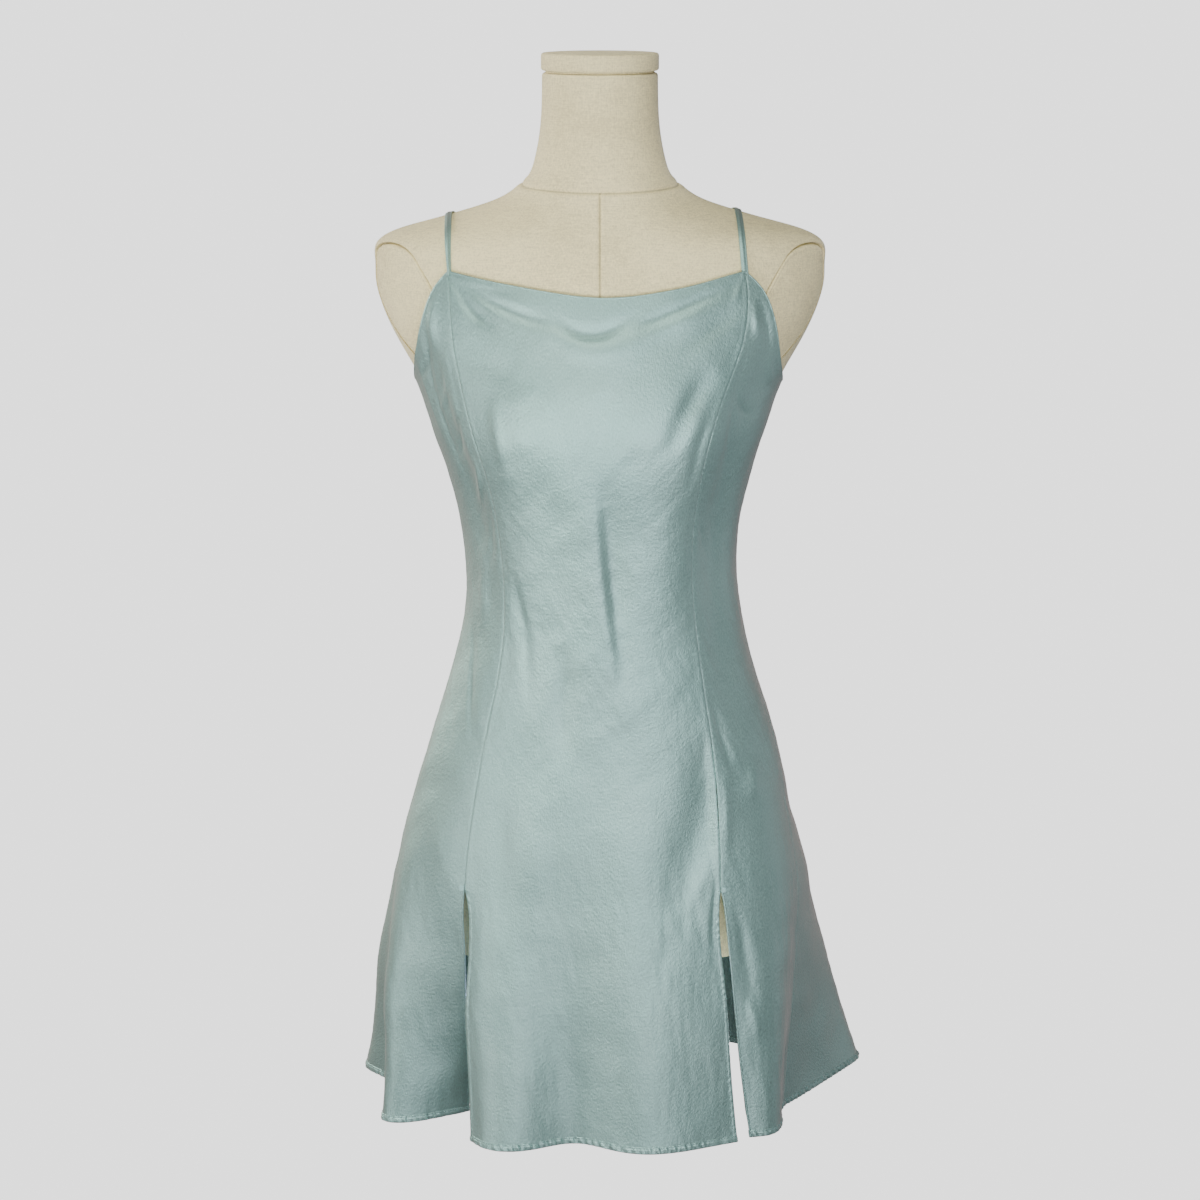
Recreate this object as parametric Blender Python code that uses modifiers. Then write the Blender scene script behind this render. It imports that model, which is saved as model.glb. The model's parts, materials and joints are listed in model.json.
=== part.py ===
"""A slip dress on a limbless linen dress form that stands on a low round foot.

Metres, +Z up. The dress faces -Y and the viewer's right is +X. The origin is the centre of the
foot's underside. Heights in the tables are measured from the level of the hem, as a dressmaker
would, and HEM_LEVEL lifts them to the floor's frame. Directions round the body are angles in
degrees: 0 is the centre front, 90 the +X side, 180 the centre back.
"""
import math
from collections import namedtuple

import bmesh
import bpy
import numpy as np
from mathutils import Vector

# ---- levels, walls and gaps
HEM_LEVEL = 0.008            # the hem hangs just clear of the floor
CLOTH = 0.0012               # wall of the dress and its straps
SEAM_GAP = 0.0004            # between pieces that are sewn or stand together
TOUCH = 0.0003               # between pieces that rest on each other

# ---- how fine the walls are
ROWS = 30                    # bands from hem to top edge, the same on every panel
FRONT_COLUMNS = 16
SIDE_COLUMNS = 10
BACK_COLUMNS = 28
FORM_COLUMNS = 32

# ---- the form: level sections from its underside to the top of the neck
Section = namedtuple("Section", "height half_width front back fullness lean")
FORM = [
    Section(0.161, 0.1605, 0.0940, 0.0970, 0.030, 0.000),
    Section(0.200, 0.1650, 0.0980, 0.1020, 0.030, 0.000),
    Section(0.250, 0.1685, 0.1020, 0.1075, 0.030, 0.000),
    Section(0.290, 0.1675, 0.1040, 0.1090, 0.030, 0.000),
    Section(0.330, 0.1610, 0.1045, 0.1065, 0.030, 0.000),
    Section(0.370, 0.1495, 0.1025, 0.0990, 0.030, 0.000),
    Section(0.420, 0.1340, 0.0980, 0.0870, 0.030, 0.000),
    Section(0.470, 0.1235, 0.0925, 0.0755, 0.030, 0.000),
    Section(0.510, 0.1200, 0.0905, 0.0705, 0.030, 0.000),
    Section(0.545, 0.1220, 0.0930, 0.0710, 0.032, 0.000),
    Section(0.585, 0.1295, 0.1010, 0.0760, 0.036, 0.001),
    Section(0.625, 0.1405, 0.1110, 0.0835, 0.042, 0.002),
    Section(0.660, 0.1515, 0.1160, 0.0900, 0.048, 0.004),
    Section(0.700, 0.1670, 0.1140, 0.0950, 0.045, 0.008),
    Section(0.735, 0.1870, 0.1075, 0.0970, 0.035, 0.012),
    Section(0.772, 0.2035, 0.0985, 0.0965, 0.022, 0.015),
    Section(0.790, 0.2075, 0.0935, 0.0950, 0.010, 0.016),
    Section(0.809, 0.2080, 0.0875, 0.0920, -0.005, 0.016),
    Section(0.827, 0.2030, 0.0810, 0.0875, -0.025, 0.015),
    Section(0.8365, 0.1845, 0.0775, 0.0850, -0.040, 0.014),
    Section(0.8453, 0.1535, 0.0740, 0.0820, -0.050, 0.012),
    Section(0.8545, 0.1215, 0.0700, 0.0785, -0.050, 0.010),
    Section(0.8635, 0.0955, 0.0665, 0.0745, -0.040, 0.008),
    Section(0.873, 0.0795, 0.0635, 0.0705, -0.020, 0.005),
    Section(0.882, 0.0690, 0.0610, 0.0670, 0.000, 0.002),
    Section(0.900, 0.0602, 0.0572, 0.0612, 0.000, 0.000),
    Section(0.918, 0.0564, 0.0550, 0.0574, 0.000, 0.000),
    Section(0.936, 0.0542, 0.0538, 0.0548, 0.000, 0.000),
    Section(0.954, 0.0533, 0.0531, 0.0534, 0.000, 0.000),
    Section(0.9785, 0.0530, 0.0530, 0.0530, 0.000, 0.000),
]
FORM_BOTTOM = FORM[0].height
SHOULDER_TOP = 0.882
NECK_TOP = FORM[-1].height
Band = namedtuple("Band", "low high rings")
FORM_BANDS = [
    Band(FORM_BOTTOM, 0.700, 20),
    Band(0.700, 0.820, 8),
    Band(0.820, SHOULDER_TOP, 10),
    Band(SHOULDER_TOP, NECK_TOP, 8),
]
BOTTOM_ROUNDING = 0.965      # the underside's rim is drawn in to this share of the section

# ---- the bust: two soft points, which the cloth spans more shallowly than the form
BUST_OUT = 0.078             # from the centre line
BUST_HEIGHT = 0.655
BUST_SPREAD_ACROSS = 0.040
BUST_SPREAD_UP = 0.045
BUST_ON_FORM = 0.011
BUST_ON_DRESS = 0.006

# ---- the dress: its ease over the form's sections
Ease = namedtuple("Ease", "height left right front back")
EASE = [
    Ease(0.000, 0.0420, 0.0470, 0.0450, 0.0420),
    Ease(0.060, 0.0395, 0.0430, 0.0400, 0.0360),
    Ease(0.120, 0.0415, 0.0400, 0.0345, 0.0290),
    Ease(0.180, 0.0350, 0.0355, 0.0275, 0.0215),
    Ease(0.233, 0.0268, 0.0290, 0.0205, 0.0160),
    Ease(0.290, 0.0130, 0.0145, 0.0130, 0.0100),
    Ease(0.335, 0.0070, 0.0125, 0.0080, 0.0070),
    Ease(0.373, 0.0068, 0.0135, 0.0075, 0.0055),
    Ease(0.420, 0.0070, 0.0130, 0.0110, 0.0065),
    Ease(0.470, 0.0050, 0.0110, 0.0160, 0.0090),
    Ease(0.510, 0.0050, 0.0085, 0.0185, 0.0110),
    Ease(0.545, 0.0055, 0.0062, 0.0182, 0.0100),
    Ease(0.585, 0.0045, 0.0042, 0.0155, 0.0070),
    Ease(0.625, 0.0052, 0.0040, 0.0120, 0.0045),
    Ease(0.660, 0.0062, 0.0038, 0.0100, 0.0040),
    Ease(0.700, 0.0050, 0.0035, 0.0085, 0.0038),
    Ease(0.740, 0.0040, 0.0035, 0.0060, 0.0038),
    Ease(0.790, 0.0038, 0.0038, 0.0040, 0.0038),
    Ease(0.830, 0.0038, 0.0038, 0.0038, 0.0038),
]
SLIT_TOP = 0.236             # the princess seams open below this
SKIRT_FROM = 0.233           # below this the skirt no longer follows the form

# ---- seams: the angle of each at each height
Seams = namedtuple("Seams", "height side_left front_left front_right side_right")
SEAMS = [
    Seams(0.000, -93.0, -33.0, 32.0, 84.0),
    Seams(0.120, -93.0, -35.8, 33.2, 84.0),
    Seams(0.236, -93.0, -38.8, 33.8, 83.0),
    Seams(0.283, -93.0, -40.2, 36.0, 82.0),
    Seams(0.329, -93.0, -41.0, 37.6, 81.0),
    Seams(0.375, -93.0, -41.5, 38.7, 82.0),
    Seams(0.422, -93.0, -41.4, 39.8, 84.0),
    Seams(0.468, -93.0, -41.8, 40.4, 88.0),
    Seams(0.514, -93.0, -42.6, 40.0, 90.0),
    Seams(0.561, -93.0, -43.0, 38.9, 90.0),
    Seams(0.609, -93.0, -43.3, 37.9, 90.0),
    Seams(0.647, -93.0, -44.0, 37.7, 90.0),
    Seams(0.690, -93.0, -44.3, 39.0, 90.0),
    Seams(0.737, -93.0, -41.6, 39.9, 90.0),
    Seams(0.781, -93.0, -39.6, 38.7, 90.0),
    Seams(0.806, -93.0, -40.4, 38.2, 90.0),
]

# ---- top edges: height of each panel's upper edge, by its share of the panel's width
Edge = namedtuple("Edge", "share height")
STRAP_HEIGHT = 0.8055
UNDERARM = 0.697
NECKLINE = [
    Edge(0.00, STRAP_HEIGHT), Edge(0.10, 0.8005), Edge(0.22, 0.7952), Edge(0.38, 0.7882),
    Edge(0.52, 0.7848), Edge(0.68, 0.7885), Edge(0.82, 0.7953), Edge(0.92, 0.8013), Edge(1.00, STRAP_HEIGHT),
]
ARMHOLE = [
    Edge(0.00, UNDERARM), Edge(0.20, 0.7000), Edge(0.38, 0.7075), Edge(0.54, 0.7190),
    Edge(0.66, 0.7333), Edge(0.80, 0.7617), Edge(0.90, 0.7885), Edge(1.00, STRAP_HEIGHT),
]
BACK_NECK = [
    Edge(0.00, UNDERARM), Edge(0.14, 0.7025), Edge(0.27, 0.7120), Edge(0.35, 0.7170), Edge(0.43, 0.7130),
    Edge(0.50, 0.7115), Edge(0.57, 0.7130), Edge(0.65, 0.7170), Edge(0.73, 0.7120), Edge(0.86, 0.7025),
    Edge(1.00, UNDERARM),
]

# ---- the hem seen from above: where each fold's crest or valley hangs, and how high it starts
Fold = namedtuple("Fold", "share x y onset")
FRONT_HEM = [
    Fold(0.00, -0.1190, -0.1240, SLIT_TOP),
    Fold(0.07, -0.1080, -0.1430, 0.260),
    Fold(0.20, -0.0740, -0.1515, 0.320),
    Fold(0.36, -0.0345, -0.1335, 0.300),
    Fold(0.43, -0.0165, -0.1325, 0.300),
    Fold(0.55, 0.0170, -0.1520, 0.340),
    Fold(0.75, 0.0660, -0.1560, 0.330),
    Fold(0.88, 0.0970, -0.1430, 0.260),
    Fold(1.00, 0.1300, -0.1270, SLIT_TOP),
]
SIDE_LEFT_HEM = [
    Fold(0.00, -0.1970, 0.0000, 0.300),
    Fold(0.20, -0.1970, -0.0330, 0.300),
    Fold(0.43, -0.2064, -0.0700, 0.320),
    Fold(0.52, -0.1965, -0.0775, 0.320),
    Fold(0.66, -0.1735, -0.0740, 0.300),
    Fold(0.83, -0.1460, -0.0595, 0.260),
    Fold(1.00, -0.1220, -0.0450, SLIT_TOP),
]
SIDE_RIGHT_HEM = [
    Fold(0.00, 0.1380, -0.1150, SLIT_TOP),
    Fold(0.23, 0.1620, -0.1075, 0.280),
    Fold(0.42, 0.1710, -0.0880, 0.320),
    Fold(0.80, 0.1715, -0.0500, 0.360),
    Fold(1.00, 0.1760, -0.0340, 0.360),
]
BACK_HEM = [
    Fold(0.00, 0.1760, -0.0340, 0.360),
    Fold(0.06, 0.2020, 0.0070, 0.360),
    Fold(0.16, 0.2480, 0.0820, 0.340),
    Fold(0.20, 0.2590, 0.1130, 0.330),
    Fold(0.24, 0.2360, 0.1370, 0.330),
    Fold(0.30, 0.1800, 0.1370, 0.340),
    Fold(0.37, 0.1340, 0.1500, 0.340),
    Fold(0.44, 0.0850, 0.1660, 0.340),
    Fold(0.50, 0.0400, 0.1510, 0.340),
    Fold(0.56, -0.0050, 0.1630, 0.340),
    Fold(0.63, -0.0600, 0.1670, 0.340),
    Fold(0.71, -0.1150, 0.1410, 0.340),
    Fold(0.79, -0.1650, 0.1500, 0.340),
    Fold(0.87, -0.2100, 0.1200, 0.330),
    Fold(0.93, -0.2305, 0.0720, 0.320),
    Fold(0.97, -0.2050, 0.0350, 0.310),
    Fold(1.00, -0.1970, 0.0000, 0.300),
]
FOLD_POWER = 1.35            # how softly a fold opens below its onset

# ---- slits: how far each open edge of the princess seams hangs to the side, by height
Drift = namedtuple("Drift", "height side_left front_left front_right side_right")
SLIT_EDGES = [
    Drift(0.000, -0.0029, -0.0014, -0.0018, 0.0020),
    Drift(0.050, -0.0002, -0.0004, -0.0036, 0.0003),
    Drift(0.090, 0.0010, 0.0018, -0.0042, -0.0006),
    Drift(0.135, 0.0019, 0.0043, -0.0034, 0.0008),
    Drift(0.172, 0.0012, 0.0055, -0.0029, 0.0029),
    Drift(0.207, -0.0005, 0.0058, -0.0030, 0.0035),
    Drift(SLIT_TOP, -0.0005, 0.0050, -0.0026, 0.0035),
]
DRIFT_DEPTH = 0.014          # the edges draw apart within this depth below the slit's top
DRIFT_REACH = 0.10           # share of the panel over which an edge's drift fades

# ---- straps: from the front corner over the shoulder to the back's top edge
Strap = namedtuple("Strap", "name front_x top_x back_x back_height")
STRAPS = [
    Strap("strap_left", -0.1340, -0.1387, -0.0850, 0.7176),
    Strap("strap_right", 0.1298, 0.1262, 0.0850, 0.7176),
]
STRAP_WIDTH = 0.0065
STRAP_END_WIDTH = 0.0045
STRAP_STEPS = 12             # on each side of the shoulder
STRAP_LIFT = 0.0005          # over the form
STRAP_END_LIFT = 0.0035      # level with the panels' walls
STRAP_DROP = 2               # power of the fall from the shoulder line to the ends
STRAP_LEAN = 1.7             # power of the lean towards the back's middle
STRAP_LEAVES = 6             # power of the lift: only the last stretch leaves the form

# ---- arm plates: each closes the form along a tilted plane
PLATE_NORMAL = Vector((-0.758, -0.651, -0.032)).normalized()
PLATE_POINT = Vector((-0.1650, -0.0425, 0.8070))
PLATE_DOME = 0.75            # the plate stands out by this share of what the shoulder would
PLATE_LOWEST = 0.640         # the planes meet the shoulders above this height only

# ---- neck cap
CAP_RADIUS = 0.0537
CAP_THICKNESS = 0.0180
CAP_EDGE = 0.0022            # its rounding, in two flats
CAP_EDGE_SLOPE = 0.0007      # how far the rounding's middle corner stands in from both faces

# ---- foot: a turned post under the form and a round plate
POST_RADIUS = 0.0160
POST_FLANGE_RADIUS = 0.0450
POST_FLANGE = 0.0060
FOOT_RADIUS = 0.1100
FOOT_THICKNESS = 0.0120
FOOT_EDGE = 0.0030
FOOT_BOSS_RADIUS = 0.0280
FOOT_BOSS = 0.0100
TURNED_STEPS = 32

# ---- searches
HALVINGS = 30                # of an interval in which an angle or a height is sought
NUDGE = 0.0005               # step along a surface that shows its direction


class Curve:
    """A natural cubic spline through a table's rows, keyed by the first column."""

    def __init__(self, rows):
        table = np.array(rows, dtype=float)
        self.key, self.value = table[:, 0], table[:, 1:]
        step = np.diff(self.key)[:, None]
        slope = np.diff(self.value, axis=0) / step
        matrix = np.eye(len(table))
        turn = np.zeros_like(self.value)
        for row in range(1, len(table) - 1):
            matrix[row, row - 1] = step[row - 1, 0]
            matrix[row, row] = 2 * (step[row - 1, 0] + step[row, 0])
            matrix[row, row + 1] = step[row, 0]
            turn[row] = 6 * (slope[row] - slope[row - 1])
        self.bend = np.linalg.solve(matrix, turn)

    def at(self, key):
        key = min(max(key, self.key[0]), self.key[-1])
        low = int(np.clip(np.searchsorted(self.key, key) - 1, 0, len(self.key) - 2))
        width = self.key[low + 1] - self.key[low]
        far = (key - self.key[low]) / width
        near = 1 - far
        bend = (near ** 3 - near) * self.bend[low] + (far ** 3 - far) * self.bend[low + 1]
        return near * self.value[low] + far * self.value[low + 1] + bend * width ** 2 / 6


form_curve = Curve(FORM)
ease_curve = Curve(EASE)
seam_curve = Curve(SEAMS)
slit_curve = Curve(SLIT_EDGES)


def ring(angle, left, right, front, back, fullness, lean):
    """A point of a level section: smooth all round, with its own reach to each of four sides."""
    sine, cosine = math.sin(angle), math.cos(angle)
    grow = 1 + fullness * math.sin(2 * angle) ** 2
    x = ((right + left) / 2 + (right - left) / 2 * sine) * sine * grow
    y = -((front + back) / 2 + (front - back) / 2 * cosine) * cosine * grow + lean * sine ** 2
    return x, y


def bust(x, angle, height):
    """How far the bust stands out at a point of the front, as a share of its full depth."""
    facing = max(math.cos(angle), 0.0)
    across = math.exp(-((abs(x) - BUST_OUT) / BUST_SPREAD_ACROSS) ** 2)
    up = math.exp(-((height - BUST_HEIGHT) / BUST_SPREAD_UP) ** 2)
    return across * up * facing


def form_point(angle, height):
    """A point of the form's surface."""
    half_width, front, back, fullness, lean = form_curve.at(height)
    x, y = ring(angle, half_width, half_width, front, back, fullness, lean)
    return Vector((x, y - BUST_ON_FORM * bust(x, angle, height), HEM_LEVEL + height))


def ease_point(angle, height):
    """A point of the dress before its folds: the form's section let out by the ease."""
    half_width, front, back, fullness, lean = form_curve.at(max(height, SKIRT_FROM))
    left, right, ahead, behind = ease_curve.at(height)
    x, y = ring(angle, half_width + left, half_width + right, front + ahead, back + behind, fullness, lean)
    return Vector((x, y - BUST_ON_DRESS * bust(x, angle, height), HEM_LEVEL + height))


class Panel:
    """One cut piece of the dress, between two seams and from the hem to its top edge.

    slits names the columns of SLIT_EDGES for the panel's first and last edge.
    """

    def __init__(self, name, start, end, columns, edge, hem, slits=(None, None)):
        self.name, self.start, self.end, self.columns = name, start, end, columns
        self.edge, self.hem, self.slits = Curve(edge), Curve(hem), slits

    def angle(self, share, height):
        seams = dict(zip(Seams._fields[1:], seam_curve.at(height)))
        first, last = seams[self.start], seams[self.end]
        if last < first:
            last += 360
        return math.radians(first + (last - first) * share)

    def point(self, share, level):
        """A point of the outer face: share runs from seam to seam, level from hem to top edge."""
        height = level * float(self.edge.at(share)[0])
        place = ease_point(self.angle(share, height), height)
        x, y, onset = self.hem.at(share)
        drop = max(0.0, 1 - height / onset)
        fold = Vector((x, y, HEM_LEVEL)) - ease_point(self.angle(share, 0.0), 0.0)
        place += fold * drop ** FOLD_POWER
        return place + self.drift(share, height)

    def drift(self, share, height):
        """How far the cloth beside a slit hangs to the side of its seam's line."""
        drifts = dict(zip(Drift._fields[1:], slit_curve.at(height)))
        opened = 1 - math.exp(-max(0.0, SLIT_TOP - height) / DRIFT_DEPTH)
        total = 0.0
        for edge, away in zip(self.slits, (share, 1 - share)):
            total += opened * drifts.get(edge, 0.0) * max(0.0, 1 - away / DRIFT_REACH) ** 2
        return Vector((total, 0, 0))


PANELS = [
    Panel("side_front_left", "side_left", "front_left", SIDE_COLUMNS, ARMHOLE, SIDE_LEFT_HEM,
          (None, "side_left")),
    Panel("front_panel", "front_left", "front_right", FRONT_COLUMNS, NECKLINE, FRONT_HEM,
          ("front_left", "front_right")),
    Panel("side_front_right", "front_right", "side_right", SIDE_COLUMNS,
          [Edge(1 - edge.share, edge.height) for edge in reversed(ARMHOLE)], SIDE_RIGHT_HEM,
          ("side_right", None)),
    Panel("back_panel", "side_right", "side_left", BACK_COLUMNS, BACK_NECK, BACK_HEM),
]


# ---- scene helpers
def clear_scene():
    for item in list(bpy.data.objects):
        bpy.data.objects.remove(item, do_unlink=True)


def make_material(name, color, roughness):
    material = bpy.data.materials.new(name)
    material.use_nodes = True
    shader = material.node_tree.nodes["Principled BSDF"]
    shader.inputs["Base Color"].default_value = (*color, 1.0)
    shader.inputs["Roughness"].default_value = roughness
    shader.inputs["Metallic"].default_value = 0.0
    return material


def finish_object(item, name, material, collection, sharp_angle=40):
    """Name a new object, give it its material and collection, and shade its round faces smooth."""
    item.name = name
    item.data.name = name
    item.data.materials.clear()
    item.data.materials.append(material)
    for home in list(item.users_collection):
        home.objects.unlink(item)
    collection.objects.link(item)
    item.data.shade_smooth()
    item.data.set_sharp_from_angle(angle=math.radians(sharp_angle))
    return item


def cloth_sheet(name, columns, rows, place, material, collection):
    """A flat grid laid out by place(across, along), then thickened towards the body."""
    bpy.ops.mesh.primitive_grid_add(x_subdivisions=columns, y_subdivisions=rows, size=1)
    sheet = bpy.context.object
    for vertex in sheet.data.vertices:
        vertex.co = place(vertex.co.x + 0.5, vertex.co.y + 0.5)
    wall = sheet.modifiers.new("wall", "SOLIDIFY")
    wall.thickness = CLOTH
    wall.offset = -1
    return finish_object(sheet, name, material, collection)


def turned(name, profile, material, collection):
    """A profile of (radius, height) points, top to bottom, turned about the Z axis."""
    mesh = bpy.data.meshes.new(name)
    points = [(radius, 0.0, height) for radius, height in profile]
    mesh.from_pydata(points, [(i, i + 1) for i in range(len(points) - 1)], [])
    item = bpy.data.objects.new(name, mesh)
    bpy.context.scene.collection.objects.link(item)
    screw = item.modifiers.new("turn", "SCREW")
    screw.steps = screw.render_steps = TURNED_STEPS
    screw.use_merge_vertices = True
    screw.merge_threshold = 0.00001
    return finish_object(item, name, material, collection)


# ---- the dress
def build_panel(panel, material, collection):
    """A panel whose side edges stand half a seam gap back from the seam."""
    def place(share, level):
        step = 1 / panel.columns
        here = panel.point(share, level)
        if share < step / 2:
            return here + (panel.point(step, level) - here).normalized() * SEAM_GAP / 2
        if share > 1 - step / 2:
            return here + (panel.point(1 - step, level) - here).normalized() * SEAM_GAP / 2
        return here
    return cloth_sheet(panel.name, panel.columns, ROWS, place, material, collection)


def section_angle(x, height, behind):
    """The angle at which the form's section at this height reaches x, on its front or back."""
    half_width, front, back, fullness, lean = form_curve.at(height)
    low, high = 0.0, math.pi / 2
    for _ in range(HALVINGS):
        middle = (low + high) / 2
        if ring(middle, half_width, half_width, front, back, fullness, lean)[0] < abs(x):
            low = middle
        else:
            high = middle
    angle = math.pi - low if behind else low
    return math.copysign(angle, x)


def shoulder_height(x):
    """The height of the shoulder line at this distance from the centre."""
    low, high = FORM_BANDS[2].low, NECK_TOP
    for _ in range(HALVINGS):
        middle = (low + high) / 2
        if form_curve.at(middle)[0] > abs(x):
            low = middle
        else:
            high = middle
    return low


def strap_line(strap):
    """Points and outward normals along a strap, from its front end over the shoulder to its back end."""
    line = []
    for step in range(-STRAP_STEPS, STRAP_STEPS + 1):
        away = abs(step) / STRAP_STEPS
        behind = step > 0
        end_x = strap.back_x if behind else strap.front_x
        end_height = (strap.back_height if behind else STRAP_HEIGHT) + TOUCH
        x = strap.top_x + (end_x - strap.top_x) * away ** STRAP_LEAN
        top = shoulder_height(x)
        height = top - (top - end_height) * away ** STRAP_DROP
        angle = section_angle(x, height, behind)
        point = form_point(angle, height)
        around = form_point(angle + NUDGE, height) - form_point(angle - NUDGE, height)
        upward = form_point(angle, height + NUDGE) - form_point(angle, height - NUDGE)
        lift = STRAP_LIFT + (STRAP_END_LIFT - STRAP_LIFT) * away ** STRAP_LEAVES
        width = STRAP_WIDTH + (STRAP_END_WIDTH - STRAP_WIDTH) * away ** 2
        normal = around.cross(upward).normalized()
        line.append((point + normal * (lift + CLOTH), normal, width))
    return line


def build_strap(strap, material, collection):
    line = strap_line(strap)

    def place(across, along):
        index = round(along * 2 * STRAP_STEPS)
        point, normal, width = line[index]
        ahead = line[min(index + 1, 2 * STRAP_STEPS)][0] - line[max(index - 1, 0)][0]
        sideways = ahead.cross(normal).normalized()
        return point + sideways * width * (across - 0.5)
    return cloth_sheet(strap.name, 2, 2 * STRAP_STEPS, place, material, collection)


# ---- the form
def form_heights():
    heights = [FORM_BOTTOM]
    for low, high, bands in FORM_BANDS:
        heights += [low + (high - low) * (band + 1) / bands for band in range(bands)]
    return heights


def form_mesh(name):
    """The whole torso as one loft through unlike sections, closed at both ends."""
    shape = bmesh.new()
    rings = []
    for height in form_heights():
        draw_in = BOTTOM_ROUNDING if height == FORM_BOTTOM else 1.0
        corners = []
        for column in range(FORM_COLUMNS):
            point = form_point(2 * math.pi * column / FORM_COLUMNS, height)
            corners.append(shape.verts.new((point.x * draw_in, point.y * draw_in, point.z)))
        rings.append(corners)
    for lower, upper in zip(rings, rings[1:]):
        for column in range(FORM_COLUMNS):
            after = (column + 1) % FORM_COLUMNS
            shape.faces.new((lower[column], lower[after], upper[after], upper[column]))
    shape.faces.new(reversed(rings[0]))
    shape.faces.new(rings[-1])
    return shape


def plate_plane(side, gap):
    """A point and the outward normal of the plane between the torso and one arm plate."""
    normal = Vector((-side * PLATE_NORMAL.x, PLATE_NORMAL.y, PLATE_NORMAL.z))
    point = Vector((-side * PLATE_POINT.x, PLATE_POINT.y, PLATE_POINT.z + HEM_LEVEL))
    return point + normal * gap, normal


def slice_shape(shape, point, normal, keep_outside, lowest=0.0):
    """Cut a closed shape above a height along a plane, keep one side and close the cut."""
    faces = [face for face in shape.faces if min(vertex.co.z for vertex in face.verts) >= lowest]
    edges = {edge for face in faces for edge in face.edges}
    vertices = {vertex for face in faces for vertex in face.verts}
    cut = bmesh.ops.bisect_plane(shape, geom=list(vertices) + list(edges) + faces, plane_co=point,
                                 plane_no=normal, clear_inner=keep_outside, clear_outer=not keep_outside)
    rim = [item for item in cut["geom_cut"] if isinstance(item, bmesh.types.BMEdge)]
    bmesh.ops.contextual_create(shape, geom=rim)


def shape_object(shape, name, material, collection):
    bmesh.ops.recalc_face_normals(shape, faces=shape.faces[:])
    mesh = bpy.data.meshes.new(name)
    shape.to_mesh(mesh)
    shape.free()
    return finish_object(bpy.data.objects.new(name, mesh), name, material, collection)


def build_torso(material, collection):
    shape = form_mesh("form_torso")
    for side in (-1, 1):
        point, normal = plate_plane(side, 0.0)
        slice_shape(shape, point, normal, keep_outside=False, lowest=HEM_LEVEL + PLATE_LOWEST)
    return shape_object(shape, "form_torso", material, collection)


def build_arm_plate(name, side, material, collection):
    """The part of the shoulder beyond the plane, flattened towards it."""
    shape = form_mesh(name)
    level = Vector((0, 0, HEM_LEVEL + PLATE_LOWEST))
    slice_shape(shape, level, Vector((0, 0, 1)), keep_outside=True)
    point, normal = plate_plane(side, TOUCH)
    slice_shape(shape, point, normal, keep_outside=True)
    for vertex in shape.verts:
        beyond = (vertex.co - point).dot(normal)
        vertex.co -= normal * beyond * (1 - PLATE_DOME)
    return shape_object(shape, name, material, collection)


def build_neck_cap(material, collection):
    base = HEM_LEVEL + NECK_TOP + TOUCH
    top = base + CAP_THICKNESS - TOUCH
    flat, corner = CAP_RADIUS - CAP_EDGE, CAP_RADIUS - CAP_EDGE_SLOPE
    profile = [
        (0, top), (flat, top), (corner, top - CAP_EDGE_SLOPE), (CAP_RADIUS, top - CAP_EDGE),
        (CAP_RADIUS, base + CAP_EDGE), (corner, base + CAP_EDGE_SLOPE), (flat, base), (0, base),
    ]
    return turned("form_neck_cap", profile, material, collection)


# ---- the foot
def build_foot(material, collection):
    """The post with its flange under the form, and the plate with the boss that holds the post."""
    under_form = HEM_LEVEL + FORM_BOTTOM - TOUCH
    boss_top = FOOT_THICKNESS + FOOT_BOSS
    post = [
        (0, under_form), (POST_FLANGE_RADIUS, under_form), (POST_FLANGE_RADIUS, under_form - POST_FLANGE),
        (POST_RADIUS, under_form - POST_FLANGE), (POST_RADIUS, boss_top + TOUCH), (0, boss_top + TOUCH),
    ]
    plate = [
        (0, boss_top), (FOOT_BOSS_RADIUS - FOOT_EDGE, boss_top), (FOOT_BOSS_RADIUS, boss_top - FOOT_EDGE),
        (FOOT_BOSS_RADIUS, FOOT_THICKNESS), (FOOT_RADIUS - FOOT_EDGE, FOOT_THICKNESS),
        (FOOT_RADIUS, FOOT_THICKNESS - FOOT_EDGE), (FOOT_RADIUS, 0), (0, 0),
    ]
    turned("foot_post", post, material, collection)
    turned("foot_plate", plate, material, collection)


def build():
    clear_scene()
    collection = bpy.data.collections.new("slip_dress_on_dress_form")
    bpy.context.scene.collection.children.link(collection)
    satin = make_material("washed_satin", (0.42, 0.55, 0.53), 0.45)
    linen = make_material("form_linen", (0.66, 0.61, 0.50), 0.90)
    painted = make_material("foot_paint", (0.72, 0.72, 0.71), 0.50)
    for panel in PANELS:
        build_panel(panel, satin, collection)
    for strap in STRAPS:
        build_strap(strap, satin, collection)
    build_torso(linen, collection)
    build_arm_plate("form_armplate_left", -1, linen, collection)
    build_arm_plate("form_armplate_right", 1, linen, collection)
    build_neck_cap(linen, collection)
    build_foot(painted, collection)


build()
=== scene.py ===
import json
import math

import bmesh
import bpy
import numpy as np
from mathutils import Matrix, Vector
from mathutils.bvhtree import BVHTree

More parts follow.
